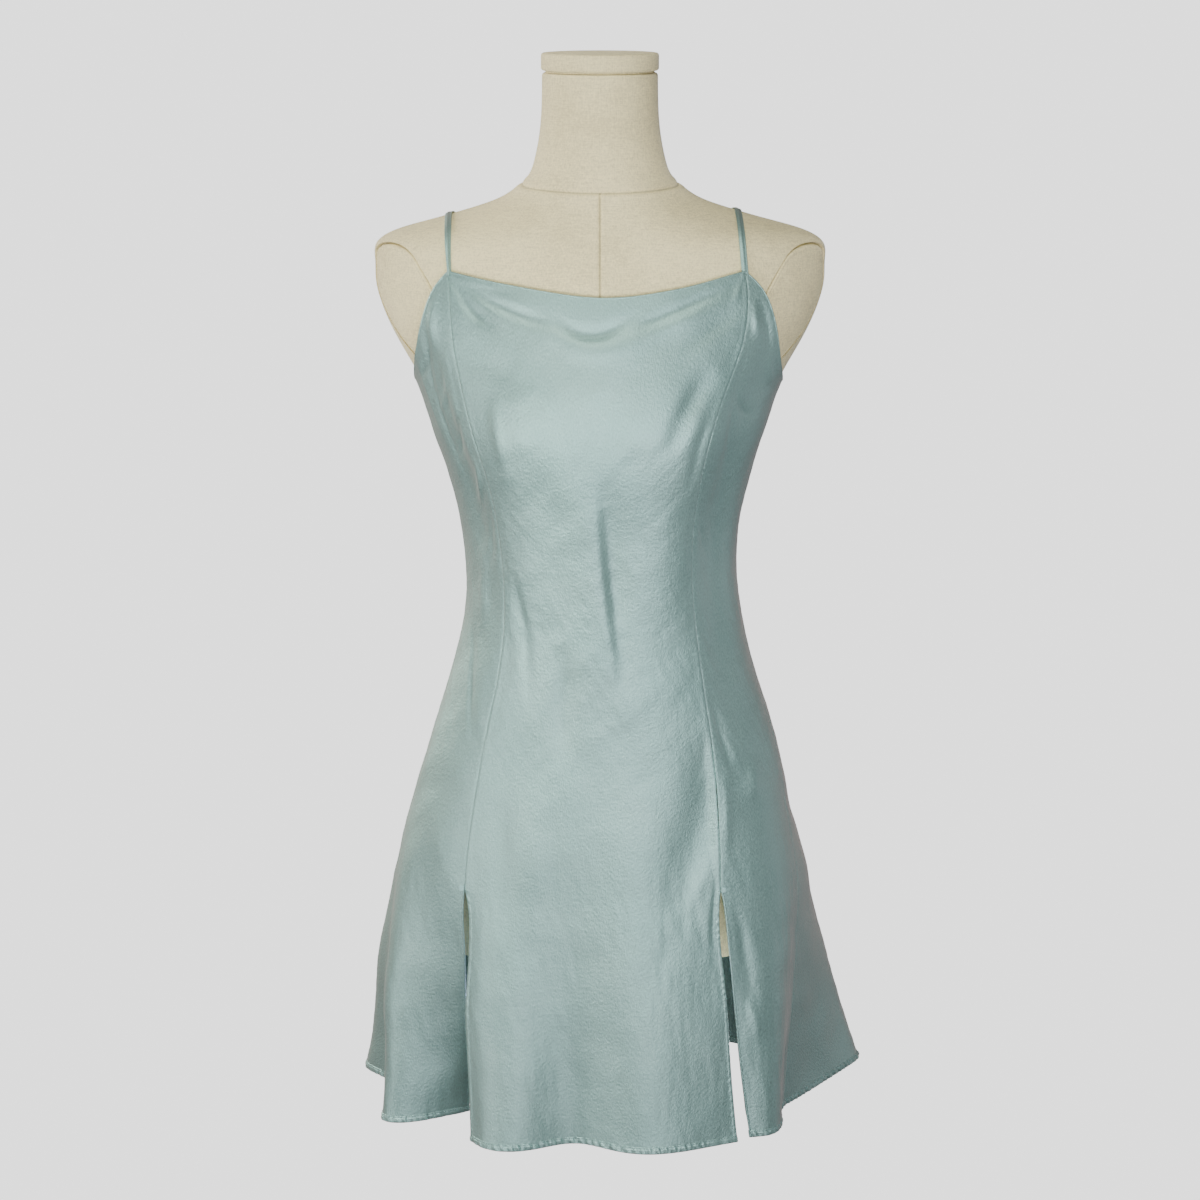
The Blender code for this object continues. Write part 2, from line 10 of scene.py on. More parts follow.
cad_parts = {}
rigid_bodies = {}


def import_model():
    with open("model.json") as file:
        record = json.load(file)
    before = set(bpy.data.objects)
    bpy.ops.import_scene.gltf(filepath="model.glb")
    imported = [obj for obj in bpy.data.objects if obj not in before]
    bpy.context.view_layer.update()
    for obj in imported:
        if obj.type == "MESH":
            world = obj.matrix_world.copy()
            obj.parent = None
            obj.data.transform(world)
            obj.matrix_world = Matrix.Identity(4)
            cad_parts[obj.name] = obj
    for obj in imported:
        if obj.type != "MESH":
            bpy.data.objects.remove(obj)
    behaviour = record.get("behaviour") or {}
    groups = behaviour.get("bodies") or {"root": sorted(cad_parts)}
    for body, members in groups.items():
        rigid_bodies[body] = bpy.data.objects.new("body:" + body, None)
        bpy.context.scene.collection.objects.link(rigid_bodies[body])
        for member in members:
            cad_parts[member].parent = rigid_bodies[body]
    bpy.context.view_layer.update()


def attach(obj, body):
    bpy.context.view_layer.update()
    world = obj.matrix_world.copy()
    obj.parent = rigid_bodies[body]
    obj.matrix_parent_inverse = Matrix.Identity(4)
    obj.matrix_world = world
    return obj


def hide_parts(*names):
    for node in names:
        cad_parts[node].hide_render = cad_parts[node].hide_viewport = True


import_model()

# Metres, +Z up. The dress faces -Y. Heights are measured from the level of the hem, and
# directions round the body are angles: 0 the centre front, 90 the +X side, 180 the back.

# ---------------------------------------------------------------------------
# Form: a moulded shell of a woman's torso and neck, covered in natural linen that is
# seamed at the centre front and back and round the base of the neck.
# ---------------------------------------------------------------------------
HEM_LEVEL = 0.008
LINEN_PALE = (0.960, 0.860, 0.505)
LINEN_DARK = (0.690, 0.610, 0.350)
THREADS_PER_METRE = 950
THREAD_SHAPE = (0.35, 3.0)    # a thread's texture is drawn out along it and drawn in across
LINEN_BLOTCHES, LINEN_MOTTLE = 14.0, 520.0   # clouds to the metre in its colour
LINEN_RANGE = (1.66, 2.28)    # sums of its textures at which it is darkest and palest
# painted shade in the linen's grooves: Pointiness at which it is darkest, and how dark
LINEN_GROOVE_PAINTED_SHADE = (0.42, 0.30)  # Pointiness at which a groove is darkest, and how dark it is
WEAVE_BUMP = (0.5, 0.0006)    # strength and height of the threads' relief

# columns: height, half width, front, back, fullness, lean
FORM = [
    (0.161, 0.1605, 0.0940, 0.0970, 0.030, 0.000),
    (0.200, 0.1650, 0.0980, 0.1020, 0.030, 0.000),
    (0.250, 0.1685, 0.1020, 0.1075, 0.030, 0.000),
    (0.290, 0.1675, 0.1040, 0.1090, 0.030, 0.000),
    (0.330, 0.1610, 0.1045, 0.1065, 0.030, 0.000),
    (0.370, 0.1495, 0.1025, 0.0990, 0.030, 0.000),
    (0.420, 0.1340, 0.0980, 0.0870, 0.030, 0.000),
    (0.470, 0.1235, 0.0925, 0.0755, 0.030, 0.000),
    (0.510, 0.1200, 0.0905, 0.0705, 0.030, 0.000),
    (0.545, 0.1220, 0.0930, 0.0710, 0.032, 0.000),
    (0.585, 0.1295, 0.1010, 0.0760, 0.036, 0.001),
    (0.625, 0.1405, 0.1110, 0.0835, 0.042, 0.002),
    (0.660, 0.1515, 0.1160, 0.0900, 0.048, 0.004),
    (0.700, 0.1670, 0.1140, 0.0950, 0.045, 0.008),
    (0.735, 0.1870, 0.1075, 0.0970, 0.035, 0.012),
    (0.772, 0.2035, 0.0985, 0.0965, 0.022, 0.015),
    (0.790, 0.2075, 0.0935, 0.0950, 0.010, 0.016),
    (0.809, 0.2080, 0.0875, 0.0920, -0.005, 0.016),
    (0.827, 0.2030, 0.0810, 0.0875, -0.025, 0.015),
    (0.8365, 0.1845, 0.0775, 0.0850, -0.040, 0.014),
    (0.8453, 0.1535, 0.0740, 0.0820, -0.050, 0.012),
    (0.8545, 0.1215, 0.0700, 0.0785, -0.050, 0.010),
    (0.8635, 0.0955, 0.0665, 0.0745, -0.040, 0.008),
    (0.873, 0.0795, 0.0635, 0.0705, -0.020, 0.005),
    (0.882, 0.0690, 0.0610, 0.0670, 0.000, 0.002),
    (0.900, 0.0602, 0.0572, 0.0612, 0.000, 0.000),
    (0.918, 0.0564, 0.0550, 0.0574, 0.000, 0.000),
    (0.936, 0.0542, 0.0538, 0.0548, 0.000, 0.000),
    (0.954, 0.0533, 0.0531, 0.0534, 0.000, 0.000),
    (0.9785, 0.0530, 0.0530, 0.0530, 0.000, 0.000),
]
FORM_BOTTOM, NECK_TOP = 0.161, 0.9785
BUST_OUT, BUST_HEIGHT = 0.078, 0.655
BUST_SPREAD_ACROSS, BUST_SPREAD_UP = 0.040, 0.045
BUST_ON_FORM = 0.011


class Curve:
    """A natural cubic spline through a table's rows, keyed by the first column."""

    def __init__(self, rows):
        table = np.array(rows, dtype=float)
        self.key, self.value = table[:, 0], table[:, 1:]
        step = np.diff(self.key)[:, None]
        slope = np.diff(self.value, axis=0) / step
        matrix = np.eye(len(table))
        turn = np.zeros_like(self.value)
        for row in range(1, len(table) - 1):
            before, after = step[row - 1, 0], step[row, 0]
            matrix[row, row - 1:row + 2] = before, 2 * (before + after), after
            turn[row] = 6 * (slope[row] - slope[row - 1])
        self.bend = np.linalg.solve(matrix, turn)

    def at(self, key):
        """The other columns at every key given, one array for each column."""
        key = np.clip(np.asarray(key, dtype=float), self.key[0], self.key[-1])
        low = np.clip(np.searchsorted(self.key, key) - 1, 0, len(self.key) - 2)
        width = (self.key[low + 1] - self.key[low])[..., None]
        far = (key - self.key[low])[..., None] / width
        near = 1 - far
        bend = (near ** 3 - near) * self.bend[low] + (far ** 3 - far) * self.bend[low + 1]
        values = near * self.value[low] + far * self.value[low + 1] + bend * width ** 2 / 6
        return np.moveaxis(values, -1, 0)


form_curve = Curve(FORM)


def ring(angle, left, right, front, back, fullness, lean):
    """Points of level sections that reach their own distance to each of four sides."""
    sine, cosine = np.sin(angle), np.cos(angle)
    grow = 1 + fullness * np.sin(2 * angle) ** 2
    x = ((right + left) / 2 + (right - left) / 2 * sine) * sine * grow
    y = -((front + back) / 2 + (front - back) / 2 * cosine) * cosine * grow + lean * sine ** 2
    return x, y


def bell(away, width):
    """A smooth hump: 1 at no distance, and a little over a third at its width."""
    return np.exp(-(away / width) ** 2)


def bust(x, angle, height):
    """How full the bust is at these places, from 0 to 1."""
    across = bell(np.abs(x) - BUST_OUT, BUST_SPREAD_ACROSS)
    up = bell(height - BUST_HEIGHT, BUST_SPREAD_UP)
    return across * up * np.maximum(np.cos(angle), 0)


def form_surface(angle, height):
    """Points of the form, as an array with x, y and z last."""
    half_width, front, back, fullness, lean = form_curve.at(height)
    x, y = ring(angle, half_width, half_width, front, back, fullness, lean)
    y = y - BUST_ON_FORM * bust(x, angle, height)
    return np.stack([x, y, HEM_LEVEL + height + 0 * x], axis=-1)


def normals_of(surface, first, second):
    """Unit normals of a surface given as a function of two arrays."""
    step = 1e-4
    along = surface(first + step, second) - surface(first - step, second)
    up = surface(first, second + step) - surface(first, second - step)
    normal = np.cross(along, up)
    return normal / np.linalg.norm(normal, axis=-1, keepdims=True)


def deselect_all():
    """Deselect every piece, because an operator acts on all that is selected."""
    bpy.context.view_layer.update()
    for item in bpy.context.scene.objects:
        item.select_set(False)


def select_only(item):
    """Select one piece and make it the active one."""
    deselect_all()
    item.select_set(True)
    bpy.context.view_layer.objects.active = item


def grid_object(name, places, uv=None):
    """A primitive grid whose vertices are set to places[row, column]."""
    deselect_all()
    rows, columns = places.shape[:2]
    bpy.ops.mesh.primitive_grid_add(x_subdivisions=columns - 1, y_subdivisions=rows - 1, size=1)
    item = bpy.context.object
    item.name = item.data.name = name
    item.data.vertices.foreach_set("co", places.reshape(-1, 3).astype(np.float32).ravel())
    if uv is not None:
        layer = item.data.uv_layers.active
        corner = np.empty(len(item.data.loops), dtype=np.int32)
        item.data.loops.foreach_get("vertex_index", corner)
        layer.data.foreach_set("uv", uv.reshape(-1, 2)[corner].astype(np.float32).ravel())
    item.data.update()
    return item


def apply_modifiers(item):
    """Apply a piece's modifiers in their order."""
    select_only(item)
    for modifier in list(item.modifiers):
        bpy.ops.object.modifier_apply(modifier=modifier.name)


def finish_piece(item, material, slot, *nodes, sharp_angle=None):
    """Shade a piece, give it its material, and let it stand for its CAD nodes."""
    select_only(item)
    if sharp_angle is None:
        bpy.ops.object.shade_smooth()
    else:
        bpy.ops.object.shade_smooth_by_angle(angle=math.radians(sharp_angle))
    item.data.materials.clear()
    item.data.materials.append(material)
    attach(item, "root")
    if nodes:
        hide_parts(*nodes)
    return item


def new_material(name, base_color, roughness, **finish):
    """A material with its node tree and shader, and more of the shader's inputs set by name."""
    material = bpy.data.materials.new(name)
    material.use_nodes = True
    shader = material.node_tree.nodes["Principled BSDF"]
    shader.inputs["Base Color"].default_value = (*base_color, 1)
    shader.inputs["Roughness"].default_value = roughness
    for socket, value in finish.items():
        shader.inputs[socket.replace("_", " ")].default_value = value
    return material, material.node_tree, shader


def add_node(tree, kind, links=(), **values):
    """A node with its properties or inputs set by name, and links as (input, output socket)."""
    node = tree.nodes.new(kind)
    for name, value in values.items():
        if hasattr(node, name):
            setattr(node, name, value)
        else:
            node.inputs[name.replace("_", " ")].default_value = value
    for name, source in links:
        tree.links.new(source, node.inputs[name])
    return node


def noise(tree, place, scale, detail=2.0, roughness=0.5):
    """Soft clouds, so many to the metre."""
    return add_node(tree, "ShaderNodeTexNoise", [("Vector", place)],
                    Scale=scale, Detail=detail, Roughness=roughness).outputs["Fac"]


def drawn_out(tree, place, scale):
    """Coordinates that are scaled unevenly, so that what they carry is drawn out."""
    return add_node(tree, "ShaderNodeMapping", [("Vector", place)], Scale=scale).outputs[0]


def added(tree, first, second):
    """The sum of two values."""
    return add_node(tree, "ShaderNodeMath", [(0, first), (1, second)], operation="ADD").outputs[0]


def ranged(tree, value, **ends):
    """A value carried over from one range to another."""
    return add_node(tree, "ShaderNodeMapRange", [("Value", value)], **ends).outputs[0]


def shaded(tree, color, value):
    """The colour, made darker or lighter by a factor."""
    links = [("Color", color), ("Value", value)]
    return add_node(tree, "ShaderNodeHueSaturation", links).outputs[0]


def bump(tree, height, strength, distance, over=None):
    """The shading of a fine relief, laid over another one where there is one."""
    links = [("Height", height)] + ([] if over is None else [("Normal", over)])
    return add_node(tree, "ShaderNodeBump", links, Strength=strength, Distance=distance).outputs[0]


# Painted shade: the colour is darkened where Pointiness shows the surface folding inwards.
NEARLY_FLAT = 0.495           # Pointiness at which a fold starts to look darker


def paint_shade_in_creases(tree, color, lowest, darkest):
    """The colour with painted shade: darker in the grooves and creases where the surface folds
    inwards.
    """
    folded = add_node(tree, "ShaderNodeNewGeometry").outputs["Pointiness"]
    return shaded(tree, color, ranged(tree, folded, From_Min=lowest, From_Max=NEARLY_FLAT,
                                      To_Min=darkest, To_Max=1.0))


def linen_material(name, pale, dark):
    """Plain woven linen: uneven threads both ways, slubs, a slight blotchiness, and painted shade
    in its grooves.
    """
    material, tree, shader = new_material(name, pale, roughness=0.9, Specular_IOR_Level=0.25,
                                          Sheen_Weight=0.25, Sheen_Roughness=0.5)
    place = add_node(tree, "ShaderNodeTexCoord").outputs["Object"]
    along, across = THREAD_SHAPE
    weft, warp = (noise(tree, drawn_out(tree, place, shape), THREADS_PER_METRE / 3,
                        detail=3.0, roughness=0.6)
                  for shape in ((along, along, across), (across, across, along)))
    weave = added(tree, weft, warp)
    blotches = noise(tree, place, LINEN_BLOTCHES, detail=4.0, roughness=0.6)
    clouds = added(tree, blotches, noise(tree, place, LINEN_MOTTLE))
    darkest, palest = LINEN_RANGE
    shade = ranged(tree, added(tree, weave, clouds), From_Min=darkest, From_Max=palest)
    color = add_node(tree, "ShaderNodeMix", [(0, shade)], data_type="RGBA")
    color.inputs[6].default_value, color.inputs[7].default_value = (*dark, 1), (*pale, 1)
    # painted shade: the linen is darkened in its seams' grooves and in the joints round the arm
    # plates
    groove_shaded_color = paint_shade_in_creases(tree, color.outputs[2], *LINEN_GROOVE_PAINTED_SHADE)
    tree.links.new(groove_shaded_color, shader.inputs["Base Color"])
    tree.links.new(bump(tree, weave, *WEAVE_BUMP), shader.inputs["Normal"])
    return material


linen = linen_material("natural_linen", LINEN_PALE, LINEN_DARK)

PLATE_NORMAL = np.array([-0.758, -0.651, -0.032])
PLATE_NORMAL /= np.linalg.norm(PLATE_NORMAL)
PLATE_POINT = np.array([-0.1650, -0.0425, 0.8070 + HEM_LEVEL])
PLATE_LOWEST = 0.640
PLATE_LIP, PLATE_SINK = 0.0006, 0.0045   # how far the flat behind a plate stands in and back
PLANE_NEAR, PLANE_LEVEL = 0.0002, 0.9999   # when a face counts as lying in the plate's plane
NECK_SEAM = 0.8835            # height of the seam round the neck, which dips at the front
NECK_SEAM_DIP = 0.0090
NECK_SLOPE = 0.9              # share of a height that runs along the linen there
SEAM_WIDTH, SEAM_DEPTH = 0.0010, 0.0015
SEAM_END = 0.0008             # height over which the front and back seams run out
SHOULDER_AWAY, SHOULDER_WIDTH, SHOULDER_RISE = 3.2, 1.6, 0.25   # shares of a seam's sizes
NECK_RIM, NECK_RIM_IN = 0.003, 0.03   # height of the neck's rounded rim, and share it goes in
TORSO_TIGHTER = 0.0002        # the linen lies this far inside the CAD form


def groove(distance):
    """A pressed-open seam: a narrow groove between two low shoulders."""
    shoulder = bell(np.abs(distance) - SHOULDER_AWAY * SEAM_WIDTH, SHOULDER_WIDTH * SEAM_WIDTH)
    return -SEAM_DEPTH * bell(distance, SEAM_WIDTH) + SHOULDER_RISE * SEAM_DEPTH * shoulder


def neck_seam_height(angle):
    """Height of the seam round the neck, lowest at the front."""
    return NECK_SEAM - NECK_SEAM_DIP * (0.5 + 0.5 * np.cos(angle))


def linen_surface(angle, height):
    """Points of the linen, with the seams at the centre front and back and round the neck."""
    base = form_surface(angle, height)
    normal = normals_of(form_surface, angle, height)
    above_seam = height - neck_seam_height(angle)
    below_neck = 1 / (1 + np.exp(above_seam / SEAM_END))
    depth = groove(base[..., 0]) * below_neck + groove(above_seam * NECK_SLOPE)
    return base + normal * (depth - TORSO_TIGHTER)[..., None]


def spaced(stops):
    """Values that run through (start, end, count) stretches, each end given once."""
    values = [np.linspace(low, high, count, endpoint=False) for low, high, count in stops]
    return np.concatenate(values + [np.array([stops[-1][1]])])


# finer rows over the shoulders and at the neck's seam, and finer columns at the centre seams
torso_heights = spaced([(FORM_BOTTOM, 0.70, 60), (0.70, 0.82, 34), (0.82, 0.866, 30),
                        (0.866, 0.888, 36), (0.888, 0.972, 30), (0.972, NECK_TOP, 8)])
half_turn = spaced([(0.0, 0.045, 8), (0.045, math.pi - 0.045, 76),
                    (math.pi - 0.045, math.pi, 8)])
torso_angles = np.concatenate([half_turn, half_turn[1:] + math.pi])
angle_grid, height_grid = np.meshgrid(torso_angles, torso_heights)
torso_places = linen_surface(angle_grid, height_grid)
rim = np.clip((height_grid - (NECK_TOP - NECK_RIM)) / NECK_RIM, 0, 1)
torso_places[..., :2] *= (1 - NECK_RIM_IN * rim ** 3)[..., None]
WELD = 0.00002                # points this close to each other become one


def close_loft(item):
    """Join the loft's first and last columns, and cap both of its open ends."""
    bpy.context.view_layer.objects.active = item
    bpy.ops.object.mode_set(mode="EDIT")
    bpy.ops.mesh.select_mode(type="VERT")
    bpy.ops.mesh.select_all(action="SELECT")
    bpy.ops.mesh.remove_doubles(threshold=WELD)
    bpy.ops.mesh.select_all(action="DESELECT")
    bpy.ops.mesh.select_non_manifold(extend=False, use_wire=False, use_multi_face=False,
                                     use_non_contiguous=False, use_verts=False)
    bpy.ops.mesh.edge_face_add()
    bpy.ops.mesh.select_all(action="SELECT")
    bpy.ops.mesh.normals_make_consistent(inside=False)
    bpy.ops.object.mode_set(mode="OBJECT")


def select_where(item, kind, test):
    """In edit mode, select the faces or the edges that pass a test, and nothing else."""
    bpy.ops.mesh.select_all(action="DESELECT")
    bpy.ops.mesh.select_mode(type=kind)
    shape = bmesh.from_edit_mesh(item.data)
    for part in shape.faces if kind == "FACE" else shape.edges:
        part.select_set(test(part))
    bmesh.update_edit_mesh(item.data)


def slice_above(item, lowest, point, normal):
    """Cut off what stands out beyond a plane above a height, and sink the flat that closes it."""
    point, normal = Vector(point), Vector(normal)

    def closes_cut(face):
        on_plane = abs((face.calc_center_median() - point).dot(normal)) < PLANE_NEAR
        return on_plane and abs(face.normal.dot(normal)) > PLANE_LEVEL

    bpy.context.view_layer.objects.active = item
    bpy.ops.object.mode_set(mode="EDIT")
    select_where(item, "FACE", lambda face: min(vertex.co.z for vertex in face.verts) >= lowest)
    bpy.ops.mesh.bisect(plane_co=point, plane_no=normal, use_fill=True, clear_outer=True)
    select_where(item, "FACE", closes_cut)
    bpy.ops.mesh.inset(thickness=PLATE_LIP, depth=-PLATE_SINK)
    bpy.ops.object.mode_set(mode="OBJECT")


torso = grid_object("form_linen_torso", torso_places)
close_loft(torso)
for side in (-1, 1):
    mirrored = np.array([-side, 1, 1])
    slice_above(torso, HEM_LEVEL + PLATE_LOWEST, PLATE_POINT * mirrored, PLATE_NORMAL * mirrored)
finish_piece(torso, linen, "form_linen", "form_torso", sharp_angle=35)

# ---------------------------------------------------------------------------
# Arm plates: padded boards covered in the same linen, one at each shoulder. Each is let
# into the shell's arm opening, so a thin dark line shows all round it.
# ---------------------------------------------------------------------------
PLATE_DOME = 0.75             # the board stands out by this share of a whole shoulder
PLATE_JOINT = 0.0024          # width of the line round it
PLATE_ROLL = 0.035            # share of its radius that its padded edge rounds over
PLATE_TURNS, PLATE_RINGS = 120, 34
PLATE_STITCH, PLATE_STITCH_AT, PLATE_STITCH_WIDTH = 0.0004, 0.93, 0.010   # the stitched line
PLATE_EDGE_SINK = 0.8         # share of the shell's recess that its edge goes down
PLATE_CENTRE, PLATE_WIDEST = -0.052, 0.14   # its centre's height over PLATE_POINT; its reach
SEARCH_FROM, HALVINGS = 0.30, 22

whole_form = grid_object("whole_form", form_surface(angle_grid, height_grid))
close_loft(whole_form)
form_tree = BVHTree.FromObject(whole_form, bpy.context.evaluated_depsgraph_get())
bpy.data.objects.remove(whole_form, do_unlink=True)


def stands_out(point, normal):
    """How far the form stands out beyond a plane over a point of it, or less than zero."""
    start = Vector(point + normal * SEARCH_FROM)
    hit = form_tree.ray_cast(start, Vector(-normal), 2 * SEARCH_FROM)[0]
    return -1.0 if hit is None else float((np.array(hit) - point) @ normal)


def last_passing(test, low, high, halvings):
    """The highest value between two that passes a test, found by halving."""
    for _ in range(halvings):
        middle = (low + high) / 2
        low, high = (middle, high) if test(middle) else (low, middle)
    return low


def plate_radius(centre, normal, outward):
    """The distance from the plate's centre to the shell's edge in one direction."""
    return last_passing(lambda reach: stands_out(centre + outward * reach, normal) > 0,
                        0.0, PLATE_WIDEST, HALVINGS)


def arm_plate(side):
    """Points of one padded plate, from its centre out to its rounded edge."""
    mirrored = np.array([-side, 1, 1])
    normal = PLATE_NORMAL * mirrored
    centre = PLATE_POINT * mirrored + np.array([0, 0, PLATE_CENTRE])
    centre = centre - normal * ((centre - PLATE_POINT * mirrored) @ normal)
    across = np.cross(normal, (0, 0, 1))
    across /= np.linalg.norm(across)
    upward = np.cross(across, normal)
    places = np.empty((PLATE_RINGS + 1, PLATE_TURNS + 1, 3))
    for turn in range(PLATE_TURNS + 1):
        way = 2 * math.pi * turn / PLATE_TURNS
        outward = across * math.cos(way) + upward * math.sin(way)
        reach = plate_radius(centre, normal, outward) - PLATE_JOINT
        for step in range(PLATE_RINGS + 1):
            share = math.sin(math.pi / 2 * step / PLATE_RINGS)
            point = centre + outward * reach * share
            height = max(stands_out(point, normal), 0.0) * PLATE_DOME
            edge = max(0.0, 1 - (1 - share) / PLATE_ROLL)
            rolled = PLATE_EDGE_SINK * PLATE_SINK * (1 - math.sqrt(1 - min(edge, 1.0) ** 2))
            stitched = PLATE_STITCH * bell(share - PLATE_STITCH_AT, PLATE_STITCH_WIDTH)
            places[step, turn] = point + normal * (height * (1 - edge ** 3) - rolled - stitched)
    return places


for side, name in ((-1, "left"), (1, "right")):
    plate = grid_object(f"form_arm_board_{name}", arm_plate(side))
    close_loft(plate)
    finish_piece(plate, linen, "form_linen", f"form_armplate_{name}", sharp_angle=50)

# ---------------------------------------------------------------------------
# Neck cap: a round wooden lid, covered in the same linen and glued on the neck's end. Its
# underside is let in at the rim, which leaves a thin shadow line.
# ---------------------------------------------------------------------------
CAP_RADIUS, CAP_THICKNESS, CAP_ROUNDING = 0.0537, 0.0177, 0.0026
CAP_GAP = 0.0003              # between the lid and the neck
CAP_BASE = HEM_LEVEL + NECK_TOP + CAP_GAP
CAP_GLUE_LINE, CAP_GLUE_IN = 0.0018, 0.0015   # height and depth of the shadow line's recess
LEVEL = 0.000001              # an edge that rises less than this is level
DOWNWARD = -0.99              # a face whose normal's z is less than this faces down


def cylinder(name, radius, low, high, vertices):
    """An upright cylinder between two heights."""
    deselect_all()
    bpy.ops.mesh.primitive_cylinder_add(vertices=vertices, radius=radius, depth=high - low,
                                        location=(0, 0, (low + high) / 2))
    item = bpy.context.object
    item.name = item.data.name = name
    bpy.ops.object.transform_apply(location=True, rotation=True, scale=True)
    return item


cap = cylinder("form_neck_lid", CAP_RADIUS, CAP_BASE + CAP_GLUE_LINE, CAP_BASE + CAP_THICKNESS,
               vertices=160)
bpy.ops.object.mode_set(mode="EDIT")
select_where(cap, "EDGE", lambda edge: abs(edge.verts[0].co.z - edge.verts[1].co.z) < LEVEL)
bpy.ops.mesh.bevel(offset=CAP_ROUNDING, segments=5, profile=0.5, affect="EDGES")
select_where(cap, "FACE", lambda face: face.normal.z < DOWNWARD)
bpy.ops.mesh.inset(thickness=CAP_GLUE_IN, depth=0)
bpy.ops.mesh.extrude_region_move(TRANSFORM_OT_translate={"value": (0, 0, -CAP_GLUE_LINE)})
bpy.ops.object.mode_set(mode="OBJECT")
finish_piece(cap, linen, "form_linen", "form_neck_cap", sharp_angle=45)

# ---------------------------------------------------------------------------
# Foot: a round steel plate with a boss and a short post that is flanged to the form's
# underside, powder coated in one piece colour. It stays inside the skirt.
# ---------------------------------------------------------------------------
FOOT_RADIUS, FOOT_THICKNESS, FOOT_EDGE = 0.1100, 0.0120, 0.0030
BOSS_RADIUS, BOSS_HEIGHT, BOSS_EDGE = 0.0280, 0.0100, 0.0025
FITTED = 0.0003               # gap between the foot's pieces and to the form
OVERLAP = 0.001               # how far cylinders that make one piece run into each other
POST_RADIUS, FLANGE_RADIUS, FLANGE_THICKNESS = 0.0160, 0.0450, 0.0060
POST_EDGE, FLANGE_EDGE = 0.0006, 0.0010
POST_FOOT = FOOT_THICKNESS + BOSS_HEIGHT + FITTED
POST_TOP = HEM_LEVEL + FORM_BOTTOM - FITTED
FLANGE_FOOT = POST_TOP - FLANGE_THICKNESS
SCREW_CIRCLE, SCREW_RADIUS, SCREW_EDGE = 0.0330, 0.0042, 0.0010
SCREW_HEAD, SCREW_IN = 0.0022, 0.0005   # how far a head stands out, and its screw goes in
PAINT = (0.72, 0.72, 0.71)
PEEL, PEEL_BUMP = 900.0, (0.15, 0.0004)   # its orange peel: dimples to the metre, and relief

paint, paint_tree, paint_shader = new_material("foot_powder_coat", PAINT, roughness=0.45)
orange_peel = noise(paint_tree, add_node(paint_tree, "ShaderNodeTexCoord").outputs["Object"], PEEL)
paint_tree.links.new(bump(paint_tree, orange_peel, *PEEL_BUMP), paint_shader.inputs["Normal"])


def round_part(name, radius, low, high, edge, vertices=128):
    """A cylinder between two heights with rounded rims."""
    item = cylinder(name, radius, low, high, vertices)
    rims = item.modifiers.new("rims", "BEVEL")
    rims.width, rims.segments, rims.limit_method = edge, 3, "ANGLE"
    apply_modifiers(item)
    return item


def join(name, items):
    """Make one piece of several."""
    deselect_all()
    for item in items:
        item.select_set(True)
    bpy.context.view_layer.objects.active = items[0]
    bpy.ops.object.join()
    items[0].name = items[0].data.name = name
    return items[0]


foot_plate = join("foot_round_plate", [
    round_part("plate", FOOT_RADIUS, 0.0, FOOT_THICKNESS, FOOT_EDGE),
    round_part("boss", BOSS_RADIUS, FOOT_THICKNESS - OVERLAP, FOOT_THICKNESS + BOSS_HEIGHT,
               BOSS_EDGE, vertices=64),
])
finish_piece(foot_plate, paint, "foot_paint", "foot_plate", sharp_angle=40)
screws = []
for quarter in range(4):
    turn = math.pi * (quarter / 2 + 0.25)
    screw = round_part("screw", SCREW_RADIUS, FLANGE_FOOT - SCREW_HEAD, FLANGE_FOOT + SCREW_IN,
                       SCREW_EDGE, vertices=24)
    screw.location = (SCREW_CIRCLE * math.cos(turn), SCREW_CIRCLE * math.sin(turn), 0)
    select_only(screw)
    bpy.ops.object.transform_apply(location=True, rotation=False, scale=False)
    screws.append(screw)
foot_post = join("foot_flanged_post", [
    round_part("post", POST_RADIUS, POST_FOOT, FLANGE_FOOT + OVERLAP, POST_EDGE, vertices=64),
    round_part("flange", FLANGE_RADIUS, FLANGE_FOOT, POST_TOP, FLANGE_EDGE, vertices=96),
] + screws)
finish_piece(foot_post, paint, "foot_paint", "foot_post", sharp_angle=40)

# ---------------------------------------------------------------------------
# Dress: four panels of sand-washed satin, cut on the bias. The two princess seams and
# the side seams are pressed to one side, and below the hips the front seams stay open.
# ---------------------------------------------------------------------------
SATIN_PALE = (0.338, 0.532, 0.508)
SATIN_DEEP = (0.304, 0.496, 0.474)
SATIN_GLOSS = 0.84            # share of the light that its floats mirror in their own colour
SATIN_WALL = 0.0005
BUST_ON_DRESS = 0.006
SLIT_TOP, SKIRT_FROM, SKIRT_BLEND, FOLD_POWER = 0.236, 0.233, 0.012, 1.35
DRIFT_DEPTH, DRIFT_REACH = 0.014, 0.10
STRAP_HEIGHT, UNDERARM = 0.8055, 0.697

